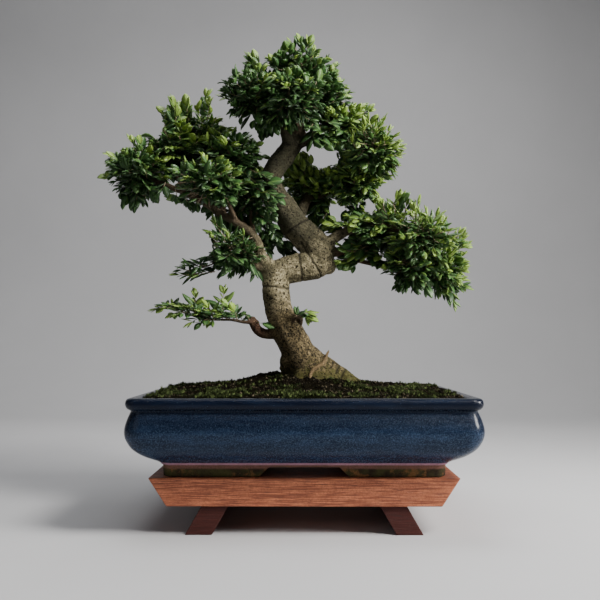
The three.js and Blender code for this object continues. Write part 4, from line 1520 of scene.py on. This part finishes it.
# Shoots that stand out of the clouds: X, Y and Z of the base, then the way to the tip
SPRIGS: dict[str, Sequence[tuple[float, ...]]] = {
    "left_upper": (
        (-173, -5, 514, -7, -6, 31), (-168, 0, 514, -7, -6, 20), (-160, 5, 520, -4, -6, 20),
        (-134, 0, 530, 1, -6, 32), (-131, -5, 522, 3, -6, 26), (-175, -10, 508, 5, -6, 22),
        (-171, -5, 520, -8, -6, 33), (-157, -2, 522, -2, -6, 25), (-176, -8, 512, -11, -4, 20),
    ),
    "left_tip": (
        (-242, -22, 456, -11, -6, 10), (-248, -22, 443, -10, -6, -3), (-246, -10, 455, -13, -6, 5),
        (-226, -22, 426, 2, -6, -16), (-240, -15, 430, -5, -6, -14), (-219, -30, 418, -1, -6, -22),
        (-230, -22, 428, -8, -6, -24), (-222, -22, 424, -8, -6, -25), (-244, -22, 450, -13, -6, -4),
        (-222, -20, 472, -7, -4, 16), (-214, -20, 474, -5, -4, 13),
    ),
    "left_low": (
        (-179, -45, 427, -7, -6, -16), (-154, -40, 411, 6, -6, -16), (-200, -40, 423, 4, -6, -10),
        (-165, -50, 416, 4, -6, -15),
    ),
    "left_near": (
        (-87, 0, 482, 24, -6, 4), (-85, 10, 471, 27, -6, 3), (-80, 0, 457, 22, -6, -8),
        (-88, 10, 499, 14, -6, -1), (-84, 20, 465, 24, -6, -3), (-86, 4, 490, 20, -6, -12),
        (-78, -24, 440, 40, -14, -16), (-74, -26, 428, 50, -14, -24), (-72, -22, 450, 26, -14, -14),
        (-76, -20, 434, 32, -14, -22), (-80, -26, 446, 28, -14, -26),
    ),
    "crown_top": (
        (-3, -10, 612, -3, -6, 20), (3, -6, 608, 4, -6, 20), (-9, -14, 608, -8, -6, 17),
        (9, -4, 601, 4, -6, 12), (-37, -12, 588, -5, -6, 14),
    ),
    "crown_left": (
        (-60, -30, 570, -13, -6, 18), (-71, -36, 556, -14, -6, 12), (-82, -36, 541, -22, -6, 8),
        (-85, -30, 532, -22, -6, -2), (-54, -26, 578, -12, -6, 19), (-62, -34, 562, -15, -6, 12),
        (-84, -32, 543, -22, -4, -3), (-78, -30, 528, -6, -4, -14), (-76, -34, 550, -24, -4, 8),
        (-70, -28, 524, -6, -4, -18), (-60, -26, 578, -17, -6, 22), (-56, -28, 574, -15, -6, 18),
        (-44, -40, 518, -2, -4, -17), (-36, -40, 516, -1, -4, -17),
    ),
    "crown_right": (
        (30, 15, 590, 12, -6, 14), (24, 10, 598, 9, -6, 14), (22, 10, 586, 22, -2, 8),
        (26, 12, 580, 22, -2, 2), (24, 12, 592, 16, -2, 8), (30, 14, 572, 21, -4, -1),
        (30, 14, 564, 23, -4, -4),
    ),
    "crown_back": ((-51, 40, 540, 1, 0, -29), (-60, 45, 539, 0, 0, -17), (9, 50, 541, 8, 0, -18)),
    "shoulder": (
        (98, -8, 462, 24, -4, -14), (100, -8, 470, 25, -4, -14), (96, 0, 456, 19, -6, -16),
        (112, -8, 484, 18, -6, -2), (108, -8, 476, 22, -6, -6),
    ),
    "shoulder_top": (
        (65, 15, 532, 12, -6, 13), (78, 12, 531, 11, -6, 9), (22, -6, 512, -4, -16, -12),
        (36, -4, 512, -2, -16, -12), (50, -4, 512, 4, -14, -12), (12, -8, 516, -6, -14, -10),
        (30, -10, 518, 12, -14, -10), (12, -12, 508, 2, -12, -28), (24, -10, 508, 2, -12, -32),
        (36, -8, 508, 2, -12, -28), (48, -6, 506, 2, -12, -28), (18, -12, 502, 4, -12, -18),
        (30, -10, 504, 4, -12, -18), (42, -8, 502, 4, -12, -16), (58, -6, 504, 4, -12, -22),
    ),
    "rear": (
        (-3, 50, 450, -7, 0, 40), (-14, 52, 445, -10, 0, 26), (9, 55, 459, -7, 0, 36),
        (20, 45, 452, 0, 0, 23), (37, 40, 462, -1, 0, 32), (49, 45, 469, 5, 0, 23),
        (0, 48, 455, -14, -4, 27), (26, 30, 428, -10, -16, 12), (38, 34, 436, -4, -18, -6),
        (50, 36, 440, 0, -18, 8), (12, 40, 432, -10, -14, 14), (62, 34, 442, 4, -16, -10),
        (8, 48, 446, -10, -14, 24), (4, 50, 440, -16, -14, 22), (14, 46, 440, -6, -16, 22),
        (10, 46, 420, -6, -16, -16), (18, 44, 424, 0, -16, -22), (6, 48, 430, -12, -16, -10),
        (26, 42, 424, 4, -16, -20), (0, 48, 462, -10, -12, 22), (12, 50, 456, -2, -14, 22),
        (-4, 50, 446, -14, -10, 6), (16, 46, 432, -4, -18, -2), (30, 42, 444, -4, -14, 14),
    ),
    "shoulder_low": (
        (30, 42, 419, -13, 0, -20), (20, 46, 416, -10, 0, -33), (65, 34, 413, 4, 0, -24),
        (48, 30, 413, 2, 0, -23), (85, 28, 419, 4, 0, -20), (56, 36, 416, 4, -4, -22),
        (66, 32, 414, 6, -12, -26), (72, 30, 412, -10, -14, -20), (30, 40, 408, -2, -16, -28),
        (36, 38, 404, -12, -16, -16),
    ),
    "right_inner": (
        (78, 2, 351, -37, -6, 11), (87, 6, 360, -33, -6, 12), (70, -4, 342, -26, -6, 7),
        (78, -2, 329, -30, -6, -3), (93, 10, 371, -27, -6, 8), (80, 14, 366, -28, -2, 22),
        (84, -8, 386, -20, -12, -6), (92, -10, 378, -16, -14, -10), (98, -6, 388, -10, -16, -6),
        (108, -10, 380, -12, -16, -8), (96, 8, 344, -18, -18, -8), (104, 6, 336, -12, -18, -10),
        (88, 12, 352, -18, -12, -2), (112, -12, 384, -2, -16, 6), (72, 0, 384, -16, -12, 6),
        (84, -10, 376, -14, -16, -10), (90, -10, 372, -8, -16, -12), (100, -8, 362, -12, -18, -10),
        (64, 4, 336, -20, -14, -8), (66, 6, 334, -12, -14, -12), (98, -12, 374, -4, -16, -8),
        (80, -8, 372, -16, -14, 4), (66, 10, 376, -34, -14, 4), (64, 6, 372, -30, -14, -2),
        (60, 12, 382, -34, -10, -8), (52, 12, 376, -12, -8, 10), (110, 0, 340, -12, -18, -6),
        (116, 0, 330, -12, -16, -10), (62, 12, 368, -34, 0, 11), (80, 6, 362, -24, -4, 5),
        (56, 10, 364, -18, -2, 12), (84, 0, 350, -24, -4, -8), (80, 4, 346, -24, -4, 0),
        (86, -4, 344, -20, -4, -8),
    ),
    "right_low": (
        (130, -16, 309, -10, -4, -15), (140, -16, 308, -6, -4, -15), (147, -16, 306, -1, -4, -12),
        (158, -16, 304, 2, -4, -13), (134, -18, 310, -7, -4, -15),
    ),
    "right_top": (
        (108, -20, 392, -5, -6, 18), (116, -20, 394, 6, -6, 19), (124, -20, 392, 4, -6, 20),
        (120, -25, 389, -5, -6, 19), (133, -22, 390, 2, -6, 20), (147, -20, 386, 3, -6, 21),
        (108, -16, 387, -7, -6, 16), (166, -24, 370, 9, -6, 16), (188, -15, 361, 9, -6, 14),
        (126, -20, 387, -2, -4, 18), (140, -16, 387, 3, -4, 17),
    ),
    "right_tip": (
        (192, 10, 354, 23, -6, 17), (196, 8, 344, 23, -6, 6), (203, 14, 332, 13, -6, -3),
        (199, 8, 320, 18, -6, -4), (199, 14, 304, 14, -6, -6), (188, 4, 298, 16, -6, -29),
        (180, 0, 302, 6, -6, -14), (196, 4, 312, 16, -6, -8), (194, 8, 350, 20, -6, 9),
        (186, 6, 304, 18, -6, -24), (192, 8, 308, 19, -6, -18), (196, 10, 306, 21, -6, -12),
        (182, 4, 300, 10, -6, -23), (176, 0, 306, 7, -4, -19), (197, 8, 350, 23, -6, 16),
        (199, 10, 344, 23, -6, 8),
    ),
    "knee": (
        (-102, -30, 357, -17, -6, 25), (-93, -26, 352, -15, -6, 24), (-83, -22, 347, -4, -6, 24),
        (-77, -14, 334, 21, -6, 13), (-129, -30, 313, -45, -6, -7), (-115, -36, 312, -32, -6, -6),
        (-82, -20, 328, 9, -6, -10), (-84, -26, 334, -30, -4, -26), (-78, -26, 330, -20, -4, -22),
        (-70, -22, 330, -8, -4, -19), (-95, -28, 334, -29, -4, -22), (-66, -20, 326, 2, -4, -15),
        (-92, -30, 345, -35, -4, -4), (-90, -30, 338, -36, -4, -10), (-98, -30, 346, -29, -4, 7),
        (-98, -30, 352, -26, -4, 13),
    ),
    "left_mid": (
        (-57, 0, 383, 6, -6, -24), (-49, -2, 383, 18, -6, -33), (-63, 6, 371, 18, -6, -33),
        (-38, 10, 380, 22, -6, -32), (-70, -6, 392, 6, -6, -23), (-52, 12, 378, 12, -4, -26),
        (-66, -18, 418, 30, -12, -20), (-64, -18, 404, 30, -12, -20), (-62, -16, 392, 24, -12, -24),
        (-66, -10, 400, 18, -16, -20), (-60, 6, 372, 16, -2, -20), (-50, 8, 366, 16, -2, -20),
        (-38, 18, 372, 16, 4, -28), (-42, 18, 366, 8, 4, -26), (-32, 16, 366, 18, 6, -28),
        (-105, 14, 414, -25, -2, -20), (-100, 14, 404, -18, -2, -21), (-92, 12, 396, -14, -2, -23),
        (-84, 12, 386, -12, -2, -24), (-76, 12, 378, -10, -2, -26), (-110, 16, 420, -30, -2, -16),
        (-88, 16, 400, 0, -4, -26), (-78, 16, 394, 2, -4, -28),
    ),
}

# Clouds whose shoots end in narrow young leaves
SPIKY = frozenset(("right_top", "right_tip", "right_low", "shoulder", "knee"))

# Air that the leaves keep clear of, as seen from the front: X, Z and half sizes
AIR: Sequence[tuple[float, float, float, float]] = (
    (29, 472, 20, 11), (-45, 485, 12, 12), (-20, 608, 4, 6), (112, 300, 8, 11), (-99, 521, 9, 6),
    (-78, 522, 9, 11), (-110, 542, 7, 8), (-119, 541, 8, 10), (-264, 409, 13, 14), (113, 425, 12, 9),
    (203, 389, 8, 7), (-206, 520, 14, 20), (126, 528, 13, 11), (88, 403, 7, 9), (43, 396, 8, 11),
    (64, 583, 6, 8), (-37, 344, 5, 6), (-140, 352, 16, 16),
)


@dataclass(frozen=True)
class StemLeaves:
    """The leaves of one thin stem: their chance, their look and their shoots.

    A share of them is narrow and still unfolding, and the lift makes all of them
    paler. A shoot is its share along the stem, the X, Y and Z of its way, its
    length and its paleness, from youth and painted light.
    """

    seed: int
    young: float
    lift: float
    shoots: Sequence[tuple[float, ...]]


STEM_LEAVES: dict[str, StemLeaves] = {
    "lowest_branch": StemLeaves(301, 0.68, 0.22, (
        (0.0, 0.7, -0.4, -0.1, 8, 0.0), (0.1, -0.3, -0.6, 0.5, 14, 0.3), (0.2, -0.4, 0.6, 0.5, 18, 0.3),
        (0.28, -0.3, -0.4, 0.7, 20, 0.4), (0.34, -0.4, -0.7, 0.2, 20, 0.4), (0.47, -0.1, 0.3, 0.9, 17, 0.5),
        (0.415, 0.05, -0.1, 1, 34, 0.75), (0.5, -0.5, 0.8, 0.1, 20, 0.3), (0.56, -0.5, -0.7, -0.2, 18, 0.3),
        (0.63, -0.5, 0.8, 0.3, 22, 0.4), (0.68, -0.4, -0.5, 0.6, 20, 0.5), (0.745, -0.02, 0, 1, 25, 0.8),
        (0.78, -0.6, -0.7, 0.1, 20, 0.4), (0.83, -0.5, 0.6, 0.3, 17, 0.5), (0.88, -0.6, -0.2, 0.5, 14, 0.6),
        (0.93, -0.7, -0.6, 0.2, 18, 0.5), (1.0, -0.9, 0.4, 0.4, 16, 0.6), (1.0, -1, -0.1, 0.1, 18, 0.6),
        (0.25, -0.2, -0.5, 0.8, 14, 0.6), (0.31, -0.5, -0.5, 0.3, 16, 0.6),
        (0.37, -0.6, -0.4, 0.5, 16, 0.7), (0.44, -0.5, -0.6, -0.1, 16, 0.5),
        (0.5, -0.3, -0.5, 0.8, 18, 0.7), (0.55, -0.5, -0.4, 0.4, 16, 0.7), (0.6, -0.4, 0.2, 0.7, 15, 0.7),
        (0.66, -0.6, -0.5, -0.2, 16, 0.6), (0.7, -0.5, -0.4, 0.6, 15, 0.8), (0.8, -0.5, -0.5, 0.5, 15, 0.8),
        (0.86, -0.7, -0.5, -0.1, 14, 0.7), (0.95, -0.8, 0.1, 0.4, 15, 0.8),
    )),
    "knee_twig": StemLeaves(302, 0.7, 0.0, (
        (0.35, -0.5, -0.6, 0.5, 16, 0.3), (0.5, -0.5, 0.7, 0.4, 16, 0.3), (0.62, -0.4, -0.7, -0.1, 16, 0.3),
        (0.75, -0.6, 0.6, 0.3, 15, 0.4), (0.87, -0.7, -0.5, 0.3, 14, 0.4), (1.0, -1, 0.1, 0.1, 14, 0.5),
    )),
    "trunk_shoot": StemLeaves(303, 0.2, 0.0, (
        (0.35, 0.1, -0.1, 1, 3, 0.1), (0.9, 1, -0.2, 0.15, 5, 0.85), (0.8, 0.6, 0.4, 0.5, 4, 0.7),
        (0.85, 0.6, -0.5, -0.4, 4, 0.6),
    )),
}


class LeafShape(Enum):
    """The forms that a leaf can have: width, fold and droop."""

    BROAD = (0.62, 0.14, 0.10)
    FOLDED = (0.52, 0.30, 0.18)
    SLIM = (0.42, 0.22, 0.05)
    YOUNG = (0.27, 0.30, -0.04)


# The common forms' numbers, as often as they are drawn, and the young one's
COMMON = (0, 0, 0, 1, 1, 2)
UNFOLDING = 3


class Shoot(NamedTuple):
    """How the leaves of one shoot stand: their colour, size, spread and form."""

    plane: Vector
    youth: float
    size: float
    bare: float = 0.12
    spread: float = 66
    young: float = 0.0


@dataclass
class Foliage:
    """All the leaves, on shoots that fill each cloud, and their twigs.

    Leaves and their steps are in metres. Spiky and calm are the shares of narrow
    leaves on shoots and on sprigs.
    """

    wood: Wood
    leaf_length: float = 0.0150
    step: float = 0.0035
    seed: int = 21
    eye_distance: float = 903.45
    eye_height: float = 218.5
    shown_reach: float = 9.0
    fullness: float = 1.12
    large_share: float = 0.20
    large: float = 1.3
    usual: float = 0.98
    hidden: float = 0.93
    shoot_in: Span = (0.05, 0.3)
    shoot_out: Span = (0.60, 0.86)
    shoot_size: Span = (0.85, 1.15)
    sprig_size: Span = (0.95, 1.2)
    sprig_share: float = 0.72
    sprig_spread: float = 50
    stem_size: float = 1.06
    spiky: Span = (0.72, 0.9)
    calm: Span = (0.08, 0.15)
    thick_wood: float = 0.0065
    wood_gap: float = 0.0012
    twig_radius: float = 0.0009
    stem_twig_radius: float = 0.0008
    twig_heap: MeshHeap = field(default_factory=MeshHeap)
    leaves: list[Copy] = field(default_factory=list)
    limbs: LimbTree | None = None
    scatter: Scatter | None = None
    shown: Sequence[Point] = ()

    def leaf(self, form: LeafShape) -> Object:
        """Return one closed thin leaf of a form, of unit length along Y."""
        width, fold, droop = form.value
        rows = ((0.14, 0.40), (0.36, 0.92), (0.62, 0.98), (0.86, 0.54))
        points = [Vector((0, 0, 0))]
        for along, share in rows:
            half = width / 2 * share
            sag = -droop * along * along
            edge = sag + fold * half
            heights = ((-half, edge), (0, sag + 0.012), (half, edge), (0, sag - 0.018))
            points += [Vector((x, along, z)) for x, z in heights]
        points.append(Vector((0, 1, -droop)))
        last = len(points) - 1
        faces: Faces = [(0, 2, 1), (0, 3, 2), (0, 1, 4), (0, 4, 3)]
        for start in range(1, last - 4, 4):
            for first, second in ((0, 1), (1, 2), (3, 0), (2, 3)):
                first, second = start + first, start + second
                faces.append((first, second, second + 4, first + 4))
        left, rib, right, keel = range(last - 4, last)
        faces += [(left, rib, last), (rib, right, last), (keel, left, last), (right, keel, last)]
        made = new_object(f"leaf_{form.name.lower()}", points, faces)
        correct_normals(made)
        made.data.shade_smooth()
        store(made.data, "across", [0.0, *(-1.0, 0.0, 1.0, 0.0) * len(rows), 0.0])
        return made

    def directions(self, count: int, draw: random.Random) -> list[Vector]:
        """Return directions spread evenly round a ball, with a little chance."""
        turn = draw.random() * math.tau
        found = []
        for index in range(count):
            height = 1 - (2 * index + 1) / count
            around = turn + index * math.pi * (3 - math.sqrt(5))
            level = math.sqrt(1 - height * height)
            way = Vector((level * math.cos(around), level * math.sin(around), height))
            found.append((way + free_step(draw) * 0.22).normalized())
        return found

    def seen(self, point: Vector) -> Span:
        """Return where a point is seen from the front, as X and Z in millimetres."""
        scale = self.eye_distance / (self.eye_distance + point.y / MM)
        return (point.x - SHIFT) / MM * scale, self.eye_height + (point.z / MM - self.eye_height) * scale

    def in_air(self, point: Vector) -> bool:
        """Return whether a point is seen in one of the gaps between the leaves."""
        x, z = self.seen(point)
        return any(
            ((x - centre_x) / half_x) ** 2 + ((z - centre_z) / half_z) ** 2 < 1
            for centre_x, centre_z, half_x, half_z in AIR
        )

    def clear(self, spot: Vector, tip: Vector) -> bool:
        """Return whether a leaf is clear of the thick wood and of the air gaps."""
        for point in (spot, spot.lerp(tip, 0.5), tip):
            away, radius = self.limbs.find(point)
            if radius > self.thick_wood and away < radius + self.wood_gap:
                return False
        return not self.in_air(spot) and not self.in_air(tip)

    def hides_branch(self, point: Vector) -> bool:
        """Return whether a leaf's middle lies in front of the shown branch."""
        x, z = self.seen(point)
        return any(
            point.y < depth and math.hypot(x - branch_x, z - branch_z) < self.shown_reach
            for branch_x, branch_z, depth in self.shown
        )

    def grow(self, path: Sequence[Vector], shoot: Shoot, draw: random.Random) -> None:
        """Set leaves along a shoot, in turn on its two sides and at its tip.

        Args:
            path: the shoot's places from its base to its tip.
            shoot: how its leaves stand.
            draw: the source of chance.
        """
        plane = shoot.plane
        total = sum((after - before).length for before, after in zip(path, path[1:]))
        side = 1
        gone = 0.0
        due = total * shoot.bare
        for before, after in zip(path, path[1:]):
            stretch = (after - before).length
            axis = (after - before).normalized()
            while due <= gone + stretch:
                share = due / total
                root = before.lerp(after, (due - gone) / stretch)
                across = axis.cross(plane).normalized() * side
                open_angle = math.radians(shoot.spread - 30 * share + draw.uniform(-14, 14))
                heading = axis * math.cos(open_angle) + across * math.sin(open_angle)
                heading += plane * draw.uniform(-0.25, 0.35)
                heading.normalize()
                face = plane + free_step(draw) * 0.35
                grown = 0.62 + 0.5 * math.sin(math.pi * min(1.0, 0.15 + share)) + draw.uniform(-0.14, 0.18)
                look = shoot._replace(size=shoot.size * grown, youth=shoot.youth * (0.25 + 0.75 * share))
                self.put(root, heading, face, look, draw)
                side = -side
                due += self.step * draw.uniform(0.75, 1.25)
            gone += stretch
        self.grow_tip(path, shoot, draw)

    def grow_tip(self, path: Sequence[Vector], shoot: Shoot, draw: random.Random) -> None:
        """Set three leaves at a shoot's tip, one ahead and two to its sides."""
        plane = shoot.plane
        axis = (path[-1] - path[-2]).normalized()
        for number in range(3):
            angle = number / 3 * math.tau + draw.random()
            out = axis.cross(plane).normalized() * math.cos(angle) + plane * math.sin(angle) * 0.6
            heading = (axis + out * (0.55 if number else 0.0)).normalized()
            face = plane - out * 0.4 if number else plane
            size = shoot.size * draw.uniform(0.62, 1.0)
            look = shoot._replace(size=size, youth=min(1.0, shoot.youth * 1.25))
            self.put(path[-1], heading, face, look, draw)

    def put(self, root: Vector, heading: Vector, face: Vector, look: Shoot, draw: random.Random) -> None:
        """Add one leaf to the cloud that is growing, if it has room.

        Args:
            root: where its base is.
            heading: the way that it points.
            face: the way that its top faces.
            look: its size, its colour and how likely it is to be narrow.
            draw: the source of chance.
        """
        grown = self.large if draw.random() < self.large_share else self.usual
        length = self.leaf_length * look.size * grown
        if heading.cross(face).length < 0.05:
            return
        if not self.clear(root, root + heading * length):
            return
        if self.hides_branch(root + heading * length / 2) and draw.random() < self.hidden:
            return
        side = heading.cross(face).normalized()
        turned = Matrix((side, heading, side.cross(heading).normalized())).transposed().to_euler()
        tone = bounded(look.youth + draw.uniform(-0.16, 0.2))
        kind = UNFOLDING if draw.random() < look.young else draw.choice(COMMON)
        self.leaves.append(Copy(root, turned, length, tone, kind))

    def twig(self, path: Sequence[Vector], thick: float) -> None:
        """Add a thin tapering twig along a path, up to the first gap that it meets."""
        airy = [self.in_air(spot) for spot in path]
        path = path[: airy.index(True)] if True in airy else path
        last = len(path) - 1
        if last < 2:
            return
        places = [(spot, thick * (1 - 0.65 * index / last)) for index, spot in enumerate(path)]
        self.twig_heap.add(*tube(places[::2] + places[-1:], 3))

    def bent(self, start: Vector, middle: Vector, end: Vector) -> list[Vector]:
        """Return six places on a curve through three points."""
        control = middle * 2 - (start + end) / 2
        shares = [step / 5 for step in range(6)]
        return [start * (1 - at) ** 2 + control * (2 * at * (1 - at)) + end * at**2 for at in shares]

    def finish(self, node: str) -> None:
        """Make one piece of the leaves that have grown, and start anew."""
        made = self.scatter.spread(f"{node}_leafy", self.leaves)
        settle(made, [node])
        self.leaves = []

    def cloud(self, name: str, cloud: Cloud, seed: int) -> None:
        """Make one cloud of leaves in CLOUDS, with a seed of its own."""
        draw = random.Random(seed)
        centre, reach = place(cloud.at), Vector(cloud.reach) * MM
        for way in self.directions(round(cloud.shoots * self.fullness), draw):
            out = Vector(part * most for part, most in zip(way, reach))
            outer = centre + out * draw.uniform(*self.shoot_out)
            start = centre + out * draw.uniform(*self.shoot_in) + free_step(draw) * 0.006
            middle = start.lerp(outer, 0.5) + free_step(draw, -1.4, 0.4) * 0.004
            path = self.bent(start, middle, outer)
            plane = way * 0.5 + Vector((0, 0, 0.75)) + level_step(draw) * 0.45
            # Painted light: shoots on the top and the right of a cloud, towards the key lamp, get paler
            # leaves.
            high = 0.5 + 0.5 * way.z
            sunny = bounded(0.55 * high + 0.25 * (0.5 + 0.5 * way.x) + 0.2 * draw.random())
            youth = cloud.youth * (0.5 + 1.5 * sunny**2)
            if draw.random() < 0.16 * (0.4 + high):
                youth += 0.4
            young = (self.spiky if name in SPIKY and way.z > -0.1 else self.calm)[0]
            size = draw.uniform(*self.shoot_size)
            self.grow(path, Shoot(plane.normalized(), min(1.0, youth), size, young=young), draw)
            self.twig(path, self.twig_radius)
        for row in SPRIGS.get(name, ()):
            start = place(row)
            end = start.lerp(place([base + out for base, out in zip(row, row[3:])]), self.sprig_share)
            side = (end - start).cross(Vector((0, 1, 0))).normalized()
            middle = start.lerp(end, 0.5) + side * (end - start).length * draw.uniform(-0.12, 0.12)
            plane = Vector((draw.uniform(-0.5, 0.5), -0.7, 0.6)).normalized()
            path = self.bent(start, middle, end)
            youth = cloud.youth + 0.25 if end.z > start.z - 0.006 else cloud.youth * 0.6
            young = (self.spiky if name in SPIKY else self.calm)[1]
            size = draw.uniform(*self.sprig_size)
            shoot = Shoot(plane, min(1.0, youth), size, spread=self.sprig_spread, young=young)
            self.grow(path, shoot, draw)
            self.twig(path, self.twig_radius)
        self.finish(f"leaves_{name}")

    def stem(self, name: str, look: StemLeaves) -> None:
        """Make the leaves of one thin stem in STEMS."""
        draw = random.Random(look.seed)
        along = [spot for spot, _ in smooth_path(STEMS[name], self.wood.step)]
        for share, *way, length, youth in look.shoots:
            root = along[round(share * (len(along) - 1))]
            heading = Vector(way).normalized()
            end = root + heading * length * MM
            middle = root.lerp(end, 0.5) + Vector((0, 0, 0.12 * length * MM))
            path = self.bent(root, middle, end)
            plane = Vector((0.1, -0.45, 0.9)) if abs(heading.z) < 0.7 else Vector((0.2, -1, 0.3))
            youth += look.lift
            shoot = Shoot(plane.normalized(), youth, self.stem_size, bare=0.1, young=look.young)
            self.grow(path, shoot, draw)
            self.twig(path, self.stem_twig_radius)
        self.finish(name)

    def build(self) -> None:
        """Make every cloud, the leafy stems and the twigs."""
        self.limbs = LimbTree(self.wood.inner)
        branch = smooth_path(BRANCHES["left"][2:9], self.wood.step)
        self.shown = [(*self.seen(spot), spot.y) for spot, _ in branch]
        shapes = [self.leaf(form) for form in LeafShape]
        self.scatter = Scatter(shapes, LeafFinish().build())
        for order, (name, cloud) in enumerate(CLOUDS.items()):
            self.cloud(name, cloud, self.seed + order)
        for name, look in STEM_LEAVES.items():
            self.stem(name, look)
        for shape in shapes:
            bpy.data.objects.remove(shape)
        twigs = new_object("twigs", self.twig_heap.points, self.twig_heap.faces)
        store(twigs.data, "thickness", [0.07] * len(twigs.data.vertices))
        twigs.data.materials.append(bpy.data.materials["bark"])
        settle(twigs)


# The studio


@dataclass(frozen=True)
class Lamp:
    """A soft round lamp: place, aim, width, power, colour and spread in degrees."""

    spot: Point
    aim: Point
    size: float
    power: float
    colour: Point
    spread: float = 180


TREE_MIDDLE: Point = (0.02, 0, 0.3)

LAMPS: dict[str, Lamp] = {
    "key": Lamp((0.95, -0.7, 1.45), TREE_MIDDLE, 0.5, 45, (1.0, 0.98, 0.94)),
    "side": Lamp((1.65, -0.45, 0.72), (0.1, 0, 0.25), 0.6, 7.5, (1.0, 0.98, 0.95), spread=70),
    "fill": Lamp((-1.5, -1.5, 1.0), TREE_MIDDLE, 1.2, 3.0, (0.93, 0.96, 1.0)),
    "top": Lamp((-0.1, 0.15, 1.75), TREE_MIDDLE, 1.0, 18, (1.0, 1.0, 1.0)),
    "wall": Lamp((0.8, -0.1, 2.0), (-1.2, 1.8, 0.9), 0.8, 6.1, (1.0, 1.0, 1.0), spread=105),
}


@dataclass
class Studio:
    """The floor and backdrop, the lamps, the air and the camera."""

    focal_pixels: float = 674.7
    image_pixels: float = 600
    sensor: float = 36
    eye: Point = (-0.53, -903.45, 218.53)
    pitch_up: float = 0.0652
    turn_left: float = 0.0054
    floor_front: float = -2.8
    floor_back: float = 1.1
    bend: float = 0.7
    bend_steps: int = 12
    half_width: float = 3.2
    wall_top: float = 3.4
    air_colour: Colour = (0.72, 0.74, 0.78, 1)
    air_light: float = 0.15
    air_seen: float = 0.25
    paper: PlainFinish = PlainFinish(
        "studio_paper", (0.46, 0.46, 0.47, 1), (0.43, 0.43, 0.44, 1), 0.9, scale=1.5
    )

    def backdrop(self) -> None:
        """Make a pale floor that curves up into a plain wall."""
        profile = [(self.floor_front, 0.0), (self.floor_back, 0.0)]
        for step in range(1, self.bend_steps + 1):
            angle = step / self.bend_steps * math.pi / 2
            y = self.floor_back + self.bend * math.sin(angle)
            profile.append((y, self.bend - self.bend * math.cos(angle)))
        profile.append((self.floor_back + self.bend, self.wall_top))
        points = [(x, y, z) for y, z in profile for x in (-self.half_width, self.half_width)]
        faces = [(2 * row, 2 * row + 1, 2 * row + 3, 2 * row + 2) for row in range(len(profile) - 1)]
        made = new_object("studio_backdrop", points, faces)
        made.data.materials.append(self.paper.build())

    def lamp(self, name: str, look: Lamp) -> None:
        """Add a soft round lamp."""
        light = bpy.data.lights.new(name, "AREA")
        light.shape = "DISK"
        light.spread = math.radians(look.spread)
        light.size = look.size
        light.energy = look.power
        light.color = look.colour
        made = bpy.data.objects.new(name, light)
        made.location = look.spot
        made.rotation_euler = (Vector(look.aim) - Vector(look.spot)).to_track_quat("-Z", "Y").to_euler()
        bpy.context.scene.collection.objects.link(made)

    def air(self) -> None:
        """Fill the studio with faint light, brighter where it is seen itself."""
        world = bpy.data.worlds.new("studio_air")
        world.use_nodes = True
        air = world.node_tree.nodes["Background"]
        air.inputs[0].default_value = self.air_colour
        graph = Graph(world.node_tree)
        direct = graph.add("ShaderNodeLightPath").outputs["Is Camera Ray"]
        graph.feed(air.inputs[1], graph.maths("MULTIPLY_ADD", direct, self.air_seen, self.air_light))
        bpy.context.scene.world = world

    def camera(self) -> None:
        """Set the camera where the photograph was taken from."""
        lens = bpy.data.cameras.new("camera")
        lens.sensor_width = self.sensor
        lens.lens = self.focal_pixels / self.image_pixels * self.sensor
        lens.clip_start = 0.02
        made = bpy.data.objects.new("camera", lens)
        made.location = place(self.eye)
        made.rotation_euler = (math.pi / 2 + self.pitch_up, 0, self.turn_left)
        bpy.context.scene.collection.objects.link(made)
        bpy.context.scene.camera = made

    def build(self) -> None:
        """Make the studio."""
        self.backdrop()
        self.camera()
        for name, look in LAMPS.items():
            self.lamp(name, look)
        self.air()


def main() -> None:
    """Build every piece in order, report it and note the sizes."""
    logging.basicConfig(level=logging.INFO, format="%(name)s %(message)s")
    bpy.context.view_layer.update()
    pot, wood = Pot(), Wood()
    for part in (Studio(), Stand(), pot, Soil(pot), wood, Foliage(wood)):
        part.build()
        LOG.info("%s: built", type(part).__name__)


if __name__ == "__main__":
    main()
